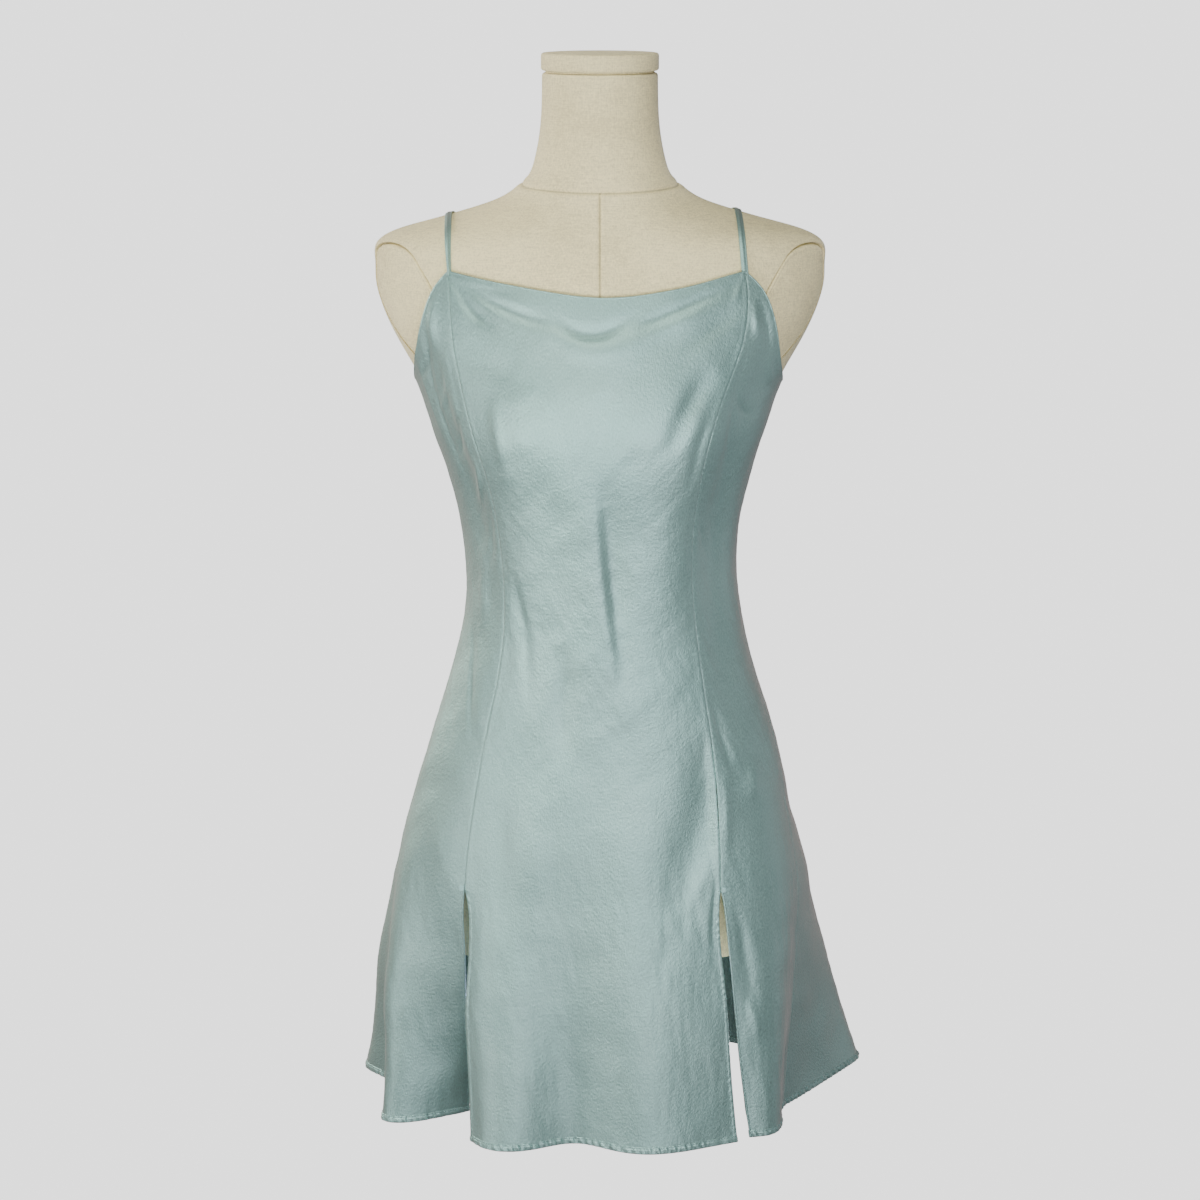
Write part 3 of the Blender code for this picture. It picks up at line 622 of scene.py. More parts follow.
# columns: height, ease at the left, right, front and back
EASE = [
    (0.000, 0.0420, 0.0470, 0.0450, 0.0420),
    (0.060, 0.0395, 0.0430, 0.0400, 0.0360),
    (0.120, 0.0415, 0.0400, 0.0345, 0.0290),
    (0.180, 0.0350, 0.0355, 0.0275, 0.0215),
    (0.233, 0.0268, 0.0290, 0.0205, 0.0160),
    (0.290, 0.0130, 0.0145, 0.0130, 0.0100),
    (0.335, 0.0070, 0.0125, 0.0080, 0.0070),
    (0.373, 0.0068, 0.0135, 0.0075, 0.0055),
    (0.420, 0.0070, 0.0130, 0.0110, 0.0065),
    (0.470, 0.0050, 0.0110, 0.0160, 0.0090),
    (0.510, 0.0050, 0.0085, 0.0185, 0.0110),
    (0.545, 0.0055, 0.0062, 0.0182, 0.0100),
    (0.585, 0.0045, 0.0042, 0.0155, 0.0070),
    (0.625, 0.0052, 0.0040, 0.0120, 0.0045),
    (0.660, 0.0062, 0.0038, 0.0100, 0.0040),
    (0.700, 0.0050, 0.0035, 0.0085, 0.0038),
    (0.740, 0.0040, 0.0035, 0.0060, 0.0038),
    (0.790, 0.0038, 0.0038, 0.0040, 0.0038),
    (0.830, 0.0038, 0.0038, 0.0038, 0.0038),
]
# columns: height, angle of the left side seam, both princess seams and the right side seam
SEAMS = [
    (0.000, -93.0, -33.0, 32.0, 84.0),
    (0.120, -93.0, -35.8, 33.2, 84.0),
    (0.236, -93.0, -38.8, 33.8, 83.0),
    (0.283, -93.0, -40.2, 36.0, 82.0),
    (0.329, -93.0, -41.0, 37.6, 81.0),
    (0.375, -93.0, -41.5, 38.7, 82.0),
    (0.422, -93.0, -41.4, 39.8, 84.0),
    (0.468, -93.0, -41.8, 40.4, 88.0),
    (0.514, -93.0, -42.6, 40.0, 90.0),
    (0.561, -93.0, -43.0, 38.9, 90.0),
    (0.609, -93.0, -43.3, 37.9, 90.0),
    (0.647, -93.0, -44.0, 37.7, 90.0),
    (0.690, -93.0, -44.3, 39.0, 90.0),
    (0.737, -93.0, -41.6, 39.9, 90.0),
    (0.781, -93.0, -39.6, 38.7, 90.0),
    (0.806, -93.0, -40.4, 38.2, 90.0),
]
# columns: share of the panel's width, height of its top edge
NECKLINE = [
    (0.00, STRAP_HEIGHT), (0.10, 0.8005), (0.22, 0.7952), (0.38, 0.7882), (0.52, 0.7848),
    (0.68, 0.7885), (0.82, 0.7953), (0.92, 0.8013), (1.00, STRAP_HEIGHT),
]
ARMHOLE = [
    (0.00, UNDERARM), (0.20, 0.7000), (0.38, 0.7075), (0.54, 0.7190),
    (0.66, 0.7333), (0.80, 0.7617), (0.90, 0.7885), (1.00, STRAP_HEIGHT),
]
BACK_NECK = [
    (0.00, UNDERARM), (0.14, 0.7025), (0.27, 0.7120), (0.35, 0.7170), (0.43, 0.7130),
    (0.50, 0.7115), (0.57, 0.7130), (0.65, 0.7170), (0.73, 0.7120), (0.86, 0.7025),
    (1.00, UNDERARM),
]
# columns: share of the panel's width, the hem's x and y there, height at which the fold starts
FRONT_HEM = [
    (0.00, -0.1190, -0.1240, SLIT_TOP), (0.07, -0.1080, -0.1430, 0.260),
    (0.20, -0.0740, -0.1515, 0.320), (0.36, -0.0345, -0.1335, 0.300),
    (0.43, -0.0165, -0.1325, 0.300), (0.55, 0.0170, -0.1520, 0.340), (0.75, 0.0660, -0.1560, 0.330),
    (0.88, 0.0970, -0.1430, 0.260), (1.00, 0.1300, -0.1270, SLIT_TOP),
]
SIDE_LEFT_HEM = [
    (0.00, -0.1970, 0.0000, 0.300), (0.20, -0.1970, -0.0330, 0.300),
    (0.43, -0.2064, -0.0700, 0.320), (0.52, -0.1965, -0.0775, 0.320),
    (0.66, -0.1735, -0.0740, 0.300), (0.83, -0.1460, -0.0595, 0.260),
    (1.00, -0.1220, -0.0450, SLIT_TOP),
]
SIDE_RIGHT_HEM = [
    (0.00, 0.1380, -0.1150, SLIT_TOP), (0.23, 0.1620, -0.1075, 0.280),
    (0.42, 0.1710, -0.0880, 0.320), (0.80, 0.1715, -0.0500, 0.360), (1.00, 0.1760, -0.0340, 0.360),
]
BACK_HEM = [
    (0.00, 0.1760, -0.0340, 0.360), (0.06, 0.2020, 0.0070, 0.360), (0.16, 0.2480, 0.0820, 0.340),
    (0.20, 0.2590, 0.1130, 0.330), (0.24, 0.2360, 0.1370, 0.330), (0.30, 0.1800, 0.1370, 0.340),
    (0.37, 0.1340, 0.1500, 0.340), (0.44, 0.0850, 0.1660, 0.340), (0.50, 0.0400, 0.1510, 0.340),
    (0.56, -0.0050, 0.1630, 0.340), (0.63, -0.0600, 0.1670, 0.340), (0.71, -0.1150, 0.1410, 0.340),
    (0.79, -0.1650, 0.1500, 0.340), (0.87, -0.2100, 0.1200, 0.330), (0.93, -0.2305, 0.0720, 0.320),
    (0.97, -0.2050, 0.0350, 0.310), (1.00, -0.1970, 0.0000, 0.300),
]

# columns: height, how far to the side the slits' open edges hang: the left side panel's, the
# front's left and right, and the right side panel's
SLIT_EDGES = [
    (0.000, -0.0029, -0.0014, -0.0018, 0.0020),
    (0.050, -0.0002, -0.0010, -0.0036, 0.0003),
    (0.090, 0.0010, 0.0003, -0.0042, -0.0006),
    (0.135, 0.0019, 0.0022, -0.0034, 0.0008),
    (0.172, 0.0012, 0.0046, -0.0029, 0.0029),
    (0.207, -0.0005, 0.0058, -0.0030, 0.0035),
    (SLIT_TOP, -0.0005, 0.0050, -0.0026, 0.0035),
]

ease_curve, seam_curve, slit_curve = Curve(EASE), Curve(SEAMS), Curve(SLIT_EDGES)
WIDTH_SHARES, WIDTH_LEVELS, EDGE_SPANS = 81, 120, 3   # places at which a panel's width is taken
HIGHEST = 0.81


def ease_surface(angle, height):
    """Points of the dress before its folds: the form's sections let out by the ease."""
    followed = SKIRT_FROM + SKIRT_BLEND * np.logaddexp(0, (height - SKIRT_FROM) / SKIRT_BLEND)
    half_width, front, back, fullness, lean = form_curve.at(followed)
    left, right, ahead, behind = ease_curve.at(height)
    x, y = ring(angle, half_width + left, half_width + right, front + ahead, back + behind,
                fullness, lean)
    y = y - BUST_ON_DRESS * bust(x, angle, height)
    return np.stack([x, y, HEM_LEVEL + height + 0 * x], axis=-1)


class Panel:
    """A cut piece between two seams, given by their column in SEAMS, from hem to top edge.

    slits gives the columns of SLIT_EDGES for the first and the last edge.
    """

    def __init__(self, first, last, edge, hem, slits=(None, None)):
        self.first, self.last, self.slits = first, last, slits
        self.edge, self.hem = Curve(edge), Curve(hem)

    def angle(self, share, height):
        """Direction, round the body, of the places at a share of the panel's width."""
        seams = seam_curve.at(height)
        first, last = seams[self.first], seams[self.last]
        return np.radians(first + (last + 360 * (self.last < self.first) - first) * share)

    def surface(self, share, height):
        """Points of the panel, with the folds that hang from the hips to the hem."""
        place = ease_surface(self.angle(share, height), height)
        x, y, onset = self.hem.at(share)
        hanging = np.stack([x, y, HEM_LEVEL + 0 * x], axis=-1)
        fold = hanging - ease_surface(self.angle(share, 0 * share), 0 * share)
        place = place + fold * (np.maximum(0, 1 - height / onset) ** FOLD_POWER)[..., None]
        opened = 1 - np.exp(-np.maximum(0, SLIT_TOP - height) / DRIFT_DEPTH)
        drifts = slit_curve.at(height)
        for column, away in zip(self.slits, (share, 1 - share)):
            if column is not None:
                share_felt = np.maximum(0, 1 - away / DRIFT_REACH) ** 2
                place[..., 0] += opened * drifts[column] * share_felt
        return place

    def width(self, height):
        """The panel's width at these heights, and its metres for each share at its two edges."""
        shares = np.linspace(0, 1, WIDTH_SHARES)
        levels = np.linspace(0, HIGHEST, WIDTH_LEVELS)
        share_grid, level_grid = np.meshgrid(shares, levels)
        steps = np.linalg.norm(np.diff(self.surface(share_grid, level_grid), axis=1), axis=-1)
        whole = np.interp(height, levels, steps.sum(axis=1))
        first, last = (np.interp(height, levels, edge.mean(axis=1) * (WIDTH_SHARES - 1))
                       for edge in (steps[:, :EDGE_SPANS], steps[:, -EDGE_SPANS:]))
        return whole, first, last


# The edges of a panel are drawn finer than its middle. Each row of TURNED is a step across
# an edge: how far in from it, and how deep under the face, where the cloth is turned in.
TURNED = [(0.0062, 0.0011), (0.0045, 0.0011), (0.0026, 0.0011), (0.0010, 0.0010),
          (0.0002, 0.0006)]
AT_EDGE = [0.0, 0.0005, 0.0011, 0.0018, 0.0026, 0.0035, 0.0043, 0.0050, 0.0056, 0.0063, 0.0072,
           0.0085, 0.0100]       # distances in from it of the finer rows on the face
SEAM_ALLOWANCE = 0.0020       # depth to which a sewn edge turns in


def steps_across(middle):
    """Rows or columns from one edge to the other: share of the middle, distance in, depth."""
    turned = [(0.0, away, deep) for away, deep in TURNED]
    edge = [(0.0, away, 0.0) for away in AT_EDGE]
    inside = [((step + 1) / middle, AT_EDGE[-1], 0.0) for step in range(middle - 1)]
    far = [(1.0, away, deep) for _, away, deep in reversed(turned + edge)]
    return np.array(turned + edge + inside + far).T


def smooth(low, high, value):
    """0 at the low value, 1 at the high one, and a soft step between them."""
    step = np.clip((value - low) / (high - low), 0, 1)
    return step * step * (3 - 2 * step)


WAVES, WAVE_STRAY, WAVE_RANGE = 48, 0.22, (0.7, 1.8)   # how many, and how far they differ


def crumple(across, along, wavelength, seed, lean=None):
    """Uneven small waves of about one wavelength. With a lean, they all run that way."""
    random = np.random.default_rng(seed)
    total = np.zeros_like(across)
    for _ in range(WAVES):
        way = random.uniform(0, math.pi) if lean is None else lean + random.normal(0, WAVE_STRAY)
        pitch = 2 * math.pi / (wavelength * random.uniform(*WAVE_RANGE))
        ahead = pitch * (across * math.cos(way) + along * math.sin(way))
        total += np.cos(ahead + random.uniform(0, 2 * math.pi))
    return total / math.sqrt(WAVES / 2)


def uneven(along, wavelength, seed):
    """Uneven small waves along a line."""
    return crumple(along, 0 * along, wavelength, seed)


CREASE_STEPS, CREASE_RUN_OUT = 48, 1.3   # steps along a crease; how softly its two ends run out
CREASE_REACH = 3              # a crease is felt this many times its width away
CREASE_ENDS = (0.001, 0.999)  # shares of its run, just inside its two ends


def crease_relief(panel, places, normals, creases):
    """Soft troughs and ridges laid along curves through three places on the panel."""
    relief = np.zeros(places.shape[:-1])
    run = np.linspace(0, 1, CREASE_STEPS)
    weights = np.stack([(1 - run) * (1 - 2 * run), 4 * run * (1 - run), run * (2 * run - 1)])
    for *points, width, depth, lopsided in creases:
        share, height = weights.T @ tuple(points[0::2]), weights.T @ tuple(points[1::2])
        path = panel.surface(np.clip(share, 0, 1), height)
        low, high = path.min(axis=0) - CREASE_REACH * width, path.max(axis=0) + CREASE_REACH * width
        near = np.all((places > low) & (places < high), axis=-1)
        away = places[near][:, None, :] - path[None, :, :]
        squared = (away ** 2).sum(axis=-1)
        nearest = squared.argmin(axis=1)
        rows = np.arange(len(nearest))
        tangent = np.gradient(path, axis=0)[nearest]
        tangent /= np.linalg.norm(tangent, axis=-1, keepdims=True)
        offset = away[rows, nearest]
        beside = (nearest > 0) & (nearest < CREASE_STEPS - 1)
        offset -= tangent * (offset * tangent).sum(axis=-1, keepdims=True) * beside[:, None]
        side = np.sign((np.cross(normals[near], tangent) * offset).sum(axis=-1))
        spread = width * (1 + lopsided * side)
        fade = np.sin(math.pi * np.clip(run[nearest], *CREASE_ENDS)) ** CREASE_RUN_OUT
        relief[near] += depth * fade * bell(np.linalg.norm(offset, axis=-1), spread)
    return relief


STITCHES_SINK, STITCHES_SINK_WIDTH = 0.0008, 0.0006   # the furrow along a row of stitches
# distances over which the band rises, from the edge, and over which it ends, from its width
BAND_RISES, BAND_ENDS = (-0.0002, 0.0006), (0.0005, -0.0006)
# how far the roping and the stitches' pull stray along an edge, and the wavelength of that
ROPE_STRAY, FINE_STRAY, DRAWN_STRAY = (2.2, 0.05), (2.0, 0.03), (0.35, 0.07)
FINE_ROPE, FINE_PERIOD, DRAWN_MEAN = 0.6, 0.61, 0.75   # shares of a second roping; the mean pull


def band_relief(away, along, width, thickness, pucker, period, seed):
    """A narrow turned edge: a raised band, roped along the bias and drawn in by its stitches."""
    strays = [size * uneven(along, wavelength, seed + later) for later, (size, wavelength)
              in enumerate((ROPE_STRAY, FINE_STRAY, DRAWN_STRAY))]
    ends = [width + further for further in BAND_ENDS]
    band = smooth(*ends, away) * smooth(*BAND_RISES, away)
    roping = np.cos(2 * math.pi * (along / period + away / (2 * width)) + strays[0])
    roping += FINE_ROPE * np.cos(2 * math.pi * along / (FINE_PERIOD * period) + strays[1])
    pulled = DRAWN_MEAN + strays[2]
    furrow = STITCHES_SINK * bell(away - EDGE_STITCH * width, STITCHES_SINK_WIDTH)
    return band * (thickness + pucker * roping * pulled) - furrow


DIP_DEPTH, DIP_WIDTH = 0.00022, 0.0010
RIDGE_HEIGHT, RIDGE_AWAY, RIDGE_WIDTH = 0.0002, 0.0024, 0.0022
PULL_HEIGHT, PULL_PERIOD, PULL_WIDTH = 0.00008, 0.013, 0.007   # small puckers along the seam
PULL_STRAY = (2, 0.06)        # how far they stray along it, and the wavelength of that


def seam_relief(away, along, lifted, seed):
    """A sewn seam: the face rolls down into it, and the side pressed over it stands up."""
    dip = -DIP_DEPTH * bell(away, DIP_WIDTH)
    ridge = lifted * RIDGE_HEIGHT * bell(away - RIDGE_AWAY, RIDGE_WIDTH)
    size, wavelength = PULL_STRAY
    stray = size * uneven(along, wavelength, seed)
    pull = np.cos(2 * math.pi * along / PULL_PERIOD + stray)
    return dip + ridge + PULL_HEIGHT * pull * bell(away, PULL_WIDTH)


def slant(panel, share):
    """Height of the panel's top edge, and how much longer it is there than its share across."""
    top, step = panel.edge.at(share)[0], 0.01
    slope = (panel.edge.at(share + step)[0] - panel.edge.at(share - step)[0]) / (2 * step)
    return top, np.sqrt(1 + (slope / panel.width(top)[0]) ** 2)


WAVES_BLEND = 0.06            # half the height over which one kind of wave fades in or out
# Folds flatten to a share of their depth where the top edge and the seams hold the cloth.
HELD_SHARE, HELD_AT_TOP, HELD_AT_SEAM = 0.35, 0.012, 0.010
SLIT_FADE = (0.004, -0.010)   # heights over the slit's top where it starts to open and is open
PLACING_ROUNDS = 3            # each brings the rows and columns closer to their true distances


def drape(data, share, height):
    """Points, normals and relief of a panel with its creases and the waves that washing leaves."""
    panel, seed = data["panel"], data["seed"]
    whole, first, last = panel.width(height)
    top, steep = slant(panel, np.clip(share, 0, 1))
    base = panel.surface(share, height)
    normals = normals_of(panel.surface, share, height)
    relief = crease_relief(panel, base, normals, data["creases"])
    for wavelength, size, lean, lowest, highest in WASHED_WAVES:
        seed += 1
        zone = smooth(lowest - WAVES_BLEND, lowest + WAVES_BLEND, height)
        zone *= smooth(highest + WAVES_BLEND, highest - WAVES_BLEND, height)
        relief += zone * size * crumple((share - 0.5) * whole, height, wavelength, seed, lean)
    calm = smooth(0.0, HELD_AT_TOP, (top - height) / steep)
    calm *= smooth(0.0, HELD_AT_SEAM, np.minimum(share * first, (1 - share) * last))
    return base, normals, relief * (HELD_SHARE + (1 - HELD_SHARE) * calm)


def panel_places(data):
    """The panel's points and their flat coordinates, in metres across and along."""
    panel, seed = data["panel"], data["seed"]
    column_middle, column_away, column_deep = steps_across(data["columns"])
    row_middle, row_away, row_deep = steps_across(data["rows"])
    middle, row_share = np.meshgrid(column_middle, row_middle)
    away_x, away_z = np.meshgrid(column_away, row_away)
    deep_x, deep_z = np.meshgrid(column_deep, row_deep)
    share = middle.copy()
    for _ in range(PLACING_ROUNDS):
        top, steep = slant(panel, share)
        height = (1 - row_share) * away_z + row_share * (top - away_z * steep)
        whole, first, last = panel.width(height)
        share = (1 - middle) * away_x / first + middle * (1 - away_x / last)
    base, normals, relief = drape(data, share, height)
    across, along = (share - 0.5) * whole, height
    opened = smooth(SLIT_TOP + SLIT_FADE[0], SLIT_TOP + SLIT_FADE[1], height)
    open_first, open_last = opened * data["slits"][0], opened * data["slits"][1]
    for distance, opening, lifted in ((share * first, open_first, data["lifts"][0]),
                                      ((1 - share) * last, open_last, data["lifts"][1])):
        relief += (1 - opening) * seam_relief(distance, along, lifted, seed + 9)
    sewn = np.where(middle < 0.5, 1 - open_first, 1 - open_last) * (deep_x > 0)
    sewn_share = np.where(middle < 0.5, 0 * share, 1 + 0 * share)
    sewn_place = panel.surface(sewn_share, height)
    sewn_deep = SEAM_ALLOWANCE * np.clip(away_x / TURNED[0][0], 0, 1)
    place = base + normals * (relief - deep_z)[..., None]
    outer = place + normals * (-deep_x * (1 - sewn))[..., None]
    inner = sewn_place + normals * (relief - deep_z - sewn_deep)[..., None]
    places = outer * (1 - sewn)[..., None] + inner * sewn[..., None]
    return places, np.stack([across, along], axis=-1)


# A turned edge is a finer strip over the panel's edge. Each row of EDGE_PROFILE is a step across
# it: share of its width in from the edge, and depth under the cloth's face.
EDGE_PROFILE = [(1.10, 0.0004), (1.02, 0.0), (0.93, 0.0), (0.87, 0.0), (0.80, 0.0), (0.68, 0.0),
                (0.54, 0.0), (0.40, 0.0), (0.27, 0.0), (0.15, 0.0), (0.06, 0.0), (-0.01, 0.0003),
                (-0.04, 0.0007), (0.02, 0.0010), (0.50, 0.0008), (1.10, 0.0004)]
EDGE_STEP = 0.0011
EDGE_STITCH = 0.84            # share of the band's width at which its stitches lie
TOP_HEIGHT, TOP_CURVED = 0.75, 1.1   # a top edge is this much longer than the panel's width here


def edge_at(data, edge, run, away):
    """Share and height of the places at a distance in from one edge of a panel."""
    panel = data["panel"]
    if edge == "hem":
        return run + 0 * away, away + 0 * run
    if edge == "top":
        top, steep = slant(panel, run)
        return run + 0 * away, top - away * steep
    height = run * SLIT_TOP
    whole, first, last = panel.width(height)
    return (away / first if edge == "first" else 1 - away / last), height + 0 * away


def edge_places(data, edge, run, away, length, sizes, raised):
    """Places and normals on the band along one edge, raised over its face."""
    base, normals, relief = drape(data, *edge_at(data, edge, run, away))
    relief += band_relief(away, run * length, *sizes, data["seed"] + 50 + len(edge)) + raised
    return base + normals * relief[..., None], normals


def turned_edge(name, data, edge, *sizes):
    """The strip along one edge, and the places and normals of its stitching.

    sizes are its width, thickness and pucker, and the period of its roping.
    """
    panel, width = data["panel"], sizes[0]
    length = {"hem": panel.width(0.0)[0],
              "top": TOP_CURVED * panel.width(TOP_HEIGHT)[0]}.get(edge, SLIT_TOP)
    share_in, depth = np.array(EDGE_PROFILE).T
    runs = np.linspace(0, 1, int(length / EDGE_STEP))
    run, away = np.meshgrid(runs, share_in * width, indexing="ij")
    places, _ = edge_places(data, edge, run, away, length, sizes, -depth)
    strip = grid_object(name, places, np.stack([away, run * length], axis=-1))
    close_loft(strip)
    stitches = int(length / STITCH_PITCH)
    run = (np.arange(stitches) + 0.5) / stitches
    away = EDGE_STITCH * width + 0 * run
    centres, normals = edge_places(data, edge, run, away, length, sizes,
                                   THREAD_RADIUS * STITCH_SHOWS)
    return strip, centres, normals


CREPE, PUCKERS, DYE = 900.0, 340.0, 9.0   # fibres, puckers and clouds of dye to the metre
CREPE_DRAWN = (1.0, 0.42, 1.0)            # the crepe is drawn out along the panel
CREPE_RANGE = (0.3, 0.7)                  # values of the crepe between which it is felt,
CREPE_TONES, CREPE_GLOSS = (0.86, 1.14), (0.50, 0.58)   # in brightness and in roughness
DYE_RANGE = (0.35, 0.65)                  # values at which the dye is deepest and palest
# painted shade in the satin's creases and seams: Pointiness at which it is darkest, and how dark
SATIN_CREASE_PAINTED_SHADE = (0.44, 0.45)              # as the linen's
PUCKER_BUMP, CREPE_BUMP = (0.50, 0.0009), (0.55, 0.0005)


def satin_material():
    """Sand-washed satin: a soft broad gloss, a fine crepe from washing, faintly uneven dye, and
    painted shade in its creases.
    """
    material, tree, shader = new_material(
        "washed_satin", SATIN_PALE, roughness=0.56, Metallic=SATIN_GLOSS, Sheen_Weight=0.28,
        Sheen_Roughness=0.45, Sheen_Tint=(1.0, 0.70, 0.68, 1), Subsurface_Weight=0.12,
        Subsurface_Radius=(1.0, 1.3, 1.2), Subsurface_Scale=0.0004)
    flat = add_node(tree, "ShaderNodeUVMap", uv_map="UVMap").outputs["UV"]
    crepe = noise(tree, drawn_out(tree, flat, CREPE_DRAWN), CREPE, detail=3.0)
    puckers = noise(tree, flat, PUCKERS, detail=4.0)
    ramp = add_node(tree, "ShaderNodeValToRGB", [("Fac", noise(tree, flat, DYE, detail=4.0))])
    for stop, place, dyed in zip(ramp.color_ramp.elements, DYE_RANGE, (SATIN_DEEP, SATIN_PALE)):
        stop.position, stop.color = place, (*dyed, 1)
    thin, thick = CREPE_RANGE
    fibres, gloss = (ranged(tree, crepe, From_Min=thin, From_Max=thick, To_Min=low, To_Max=high)
                     for low, high in (CREPE_TONES, CREPE_GLOSS))
    # painted shade: the satin's colour is darkened in its creases and seams
    color = paint_shade_in_creases(tree, shaded(tree, ramp.outputs[0], fibres), *SATIN_CREASE_PAINTED_SHADE)
    relief = bump(tree, crepe, *CREPE_BUMP, over=bump(tree, puckers, *PUCKER_BUMP))
    for name, value in (("Base Color", color), ("Roughness", gloss), ("Normal", relief)):
        tree.links.new(value, shader.inputs[name])
    return material


satin = satin_material()

# Creases. Columns: share of the panel's width and height of the start, the middle and the end;
# width; height outwards; how lopsided it is
FRONT_CREASES = [
    (0.34, 0.774, 0.48, 0.752, 0.64, 0.775, 0.0060, -0.0044, 0.2),
    (0.30, 0.766, 0.50, 0.738, 0.70, 0.764, 0.0110, 0.0023, 0.0),
    (0.01, 0.800, 0.07, 0.774, 0.17, 0.755, 0.0050, -0.0028, 0.3),
    (0.02, 0.801, 0.16, 0.787, 0.34, 0.770, 0.0050, 0.0014, 0.0),
    (0.03, 0.800, 0.20, 0.774, 0.42, 0.756, 0.0060, -0.0028, 0.3),
    (0.00, 0.802, 0.012, 0.794, 0.035, 0.785, 0.0016, -0.0016, 0.0),
    (0.002, 0.798, 0.03, 0.785, 0.08, 0.768, 0.0024, 0.0014, 0.0),
    (0.05, 0.797, 0.14, 0.790, 0.26, 0.784, 0.0040, -0.0014, 0.0),
    (0.998, 0.801, 0.985, 0.793, 0.96, 0.784, 0.0016, -0.0012, 0.0),
    (0.998, 0.797, 0.965, 0.787, 0.93, 0.775, 0.0024, 0.0012, 0.0),
    (0.03, 0.770, 0.10, 0.735, 0.24, 0.705, 0.0120, -0.0026, 0.0),
    (0.02, 0.785, 0.07, 0.745, 0.20, 0.715, 0.0120, 0.0017, 0.0),
    (0.98, 0.797, 0.78, 0.776, 0.56, 0.752, 0.0065, -0.0032, 0.3),
    (0.95, 0.795, 0.80, 0.771, 0.56, 0.745, 0.0085, 0.0026, 0.0),
    (0.98, 0.777, 0.88, 0.757, 0.76, 0.738, 0.0070, -0.0017, 0.0),
    (0.92, 0.722, 0.87, 0.690, 0.82, 0.635, 0.0120, -0.0036, 0.2),
    (0.95, 0.710, 0.91, 0.675, 0.87, 0.630, 0.0070, 0.0014, 0.0),
    (0.970, 0.690, 0.955, 0.650, 0.94, 0.600, 0.0050, -0.0013, 0.0),
    (0.13, 0.700, 0.13, 0.663, 0.11, 0.615, 0.0065, 0.0024, 0.0),
    (0.505, 0.635, 0.525, 0.535, 0.585, 0.405, 0.0120, 0.0036, -0.45),
    (0.56, 0.625, 0.575, 0.530, 0.63, 0.420, 0.0110, -0.0032, 0.3),
    (0.42, 0.680, 0.41, 0.550, 0.47, 0.370, 0.0180, 0.0026, 0.0),
    (0.18, 0.640, 0.17, 0.550, 0.17, 0.460, 0.0340, 0.0036, 0.0),
    (0.84, 0.640, 0.85, 0.550, 0.85, 0.460, 0.0300, 0.0036, 0.0),
    (0.05, 0.535, 0.125, 0.480, 0.20, 0.395, 0.0070, -0.0028, -0.2),
    (0.09, 0.510, 0.12, 0.460, 0.17, 0.400, 0.0090, 0.0014, 0.0),
    (0.33, 0.470, 0.35, 0.420, 0.37, 0.345, 0.0100, -0.0034, 0.0),
    (0.12, 0.350, 0.15, 0.270, 0.17, 0.180, 0.0110, -0.0023, 0.0),
    (0.25, 0.360, 0.28, 0.270, 0.29, 0.180, 0.0150, 0.0020, 0.0),
    (0.99, 0.385, 0.935, 0.305, 0.78, 0.205, 0.0230, -0.0064, 0.0),
    (0.985, 0.256, 0.975, 0.222, 0.955, 0.180, 0.0045, -0.0021, 0.3),
    (0.96, 0.278, 0.92, 0.245, 0.84, 0.215, 0.0070, 0.0012, 0.0),
    (0.86, 0.215, 0.77, 0.183, 0.69, 0.150, 0.0110, -0.0010, 0.0),
]
SIDE_LEFT_CREASES = [
    (0.93, 0.790, 0.87, 0.762, 0.86, 0.728, 0.0055, 0.0024, 0.0),
    (0.78, 0.782, 0.70, 0.750, 0.66, 0.700, 0.0040, -0.0012, 0.0),
    (0.83, 0.755, 0.72, 0.715, 0.58, 0.680, 0.0040, -0.0013, 0.0),
    (0.95, 0.745, 0.90, 0.680, 0.95, 0.585, 0.0035, 0.0012, 0.3),
    (0.90, 0.740, 0.86, 0.680, 0.91, 0.600, 0.0040, 0.0013, 0.0),
    (0.78, 0.560, 0.71, 0.510, 0.78, 0.465, 0.0080, 0.0023, 0.0),
    (0.53, 0.478, 0.70, 0.425, 0.90, 0.365, 0.0040, -0.0023, 0.5),
    (0.58, 0.395, 0.36, 0.345, 0.20, 0.295, 0.0160, 0.0017, 0.0),
    (0.90, 0.215, 0.88, 0.120, 0.84, 0.020, 0.0110, -0.0012, 0.0),
    (0.80, 0.785, 0.77, 0.630, 0.75, 0.440, 0.0160, -0.0042, 0.0),
    (0.80, 0.735, 0.66, 0.715, 0.50, 0.703, 0.0040, -0.0014, 0.0),
    (0.62, 0.735, 0.56, 0.690, 0.60, 0.640, 0.0035, 0.0012, 0.0),
    (0.72, 0.720, 0.67, 0.670, 0.72, 0.610, 0.0035, -0.0014, 0.0),
    (0.90, 0.715, 0.78, 0.690, 0.60, 0.672, 0.0035, 0.0010, 0.0),
    (0.94, 0.690, 0.84, 0.655, 0.70, 0.632, 0.0040, -0.0012, 0.0),
    (0.95, 0.640, 0.88, 0.610, 0.78, 0.590, 0.0040, 0.0018, 0.0),
    (0.96, 0.600, 0.90, 0.560, 0.82, 0.530, 0.0045, -0.0012, 0.0),
]
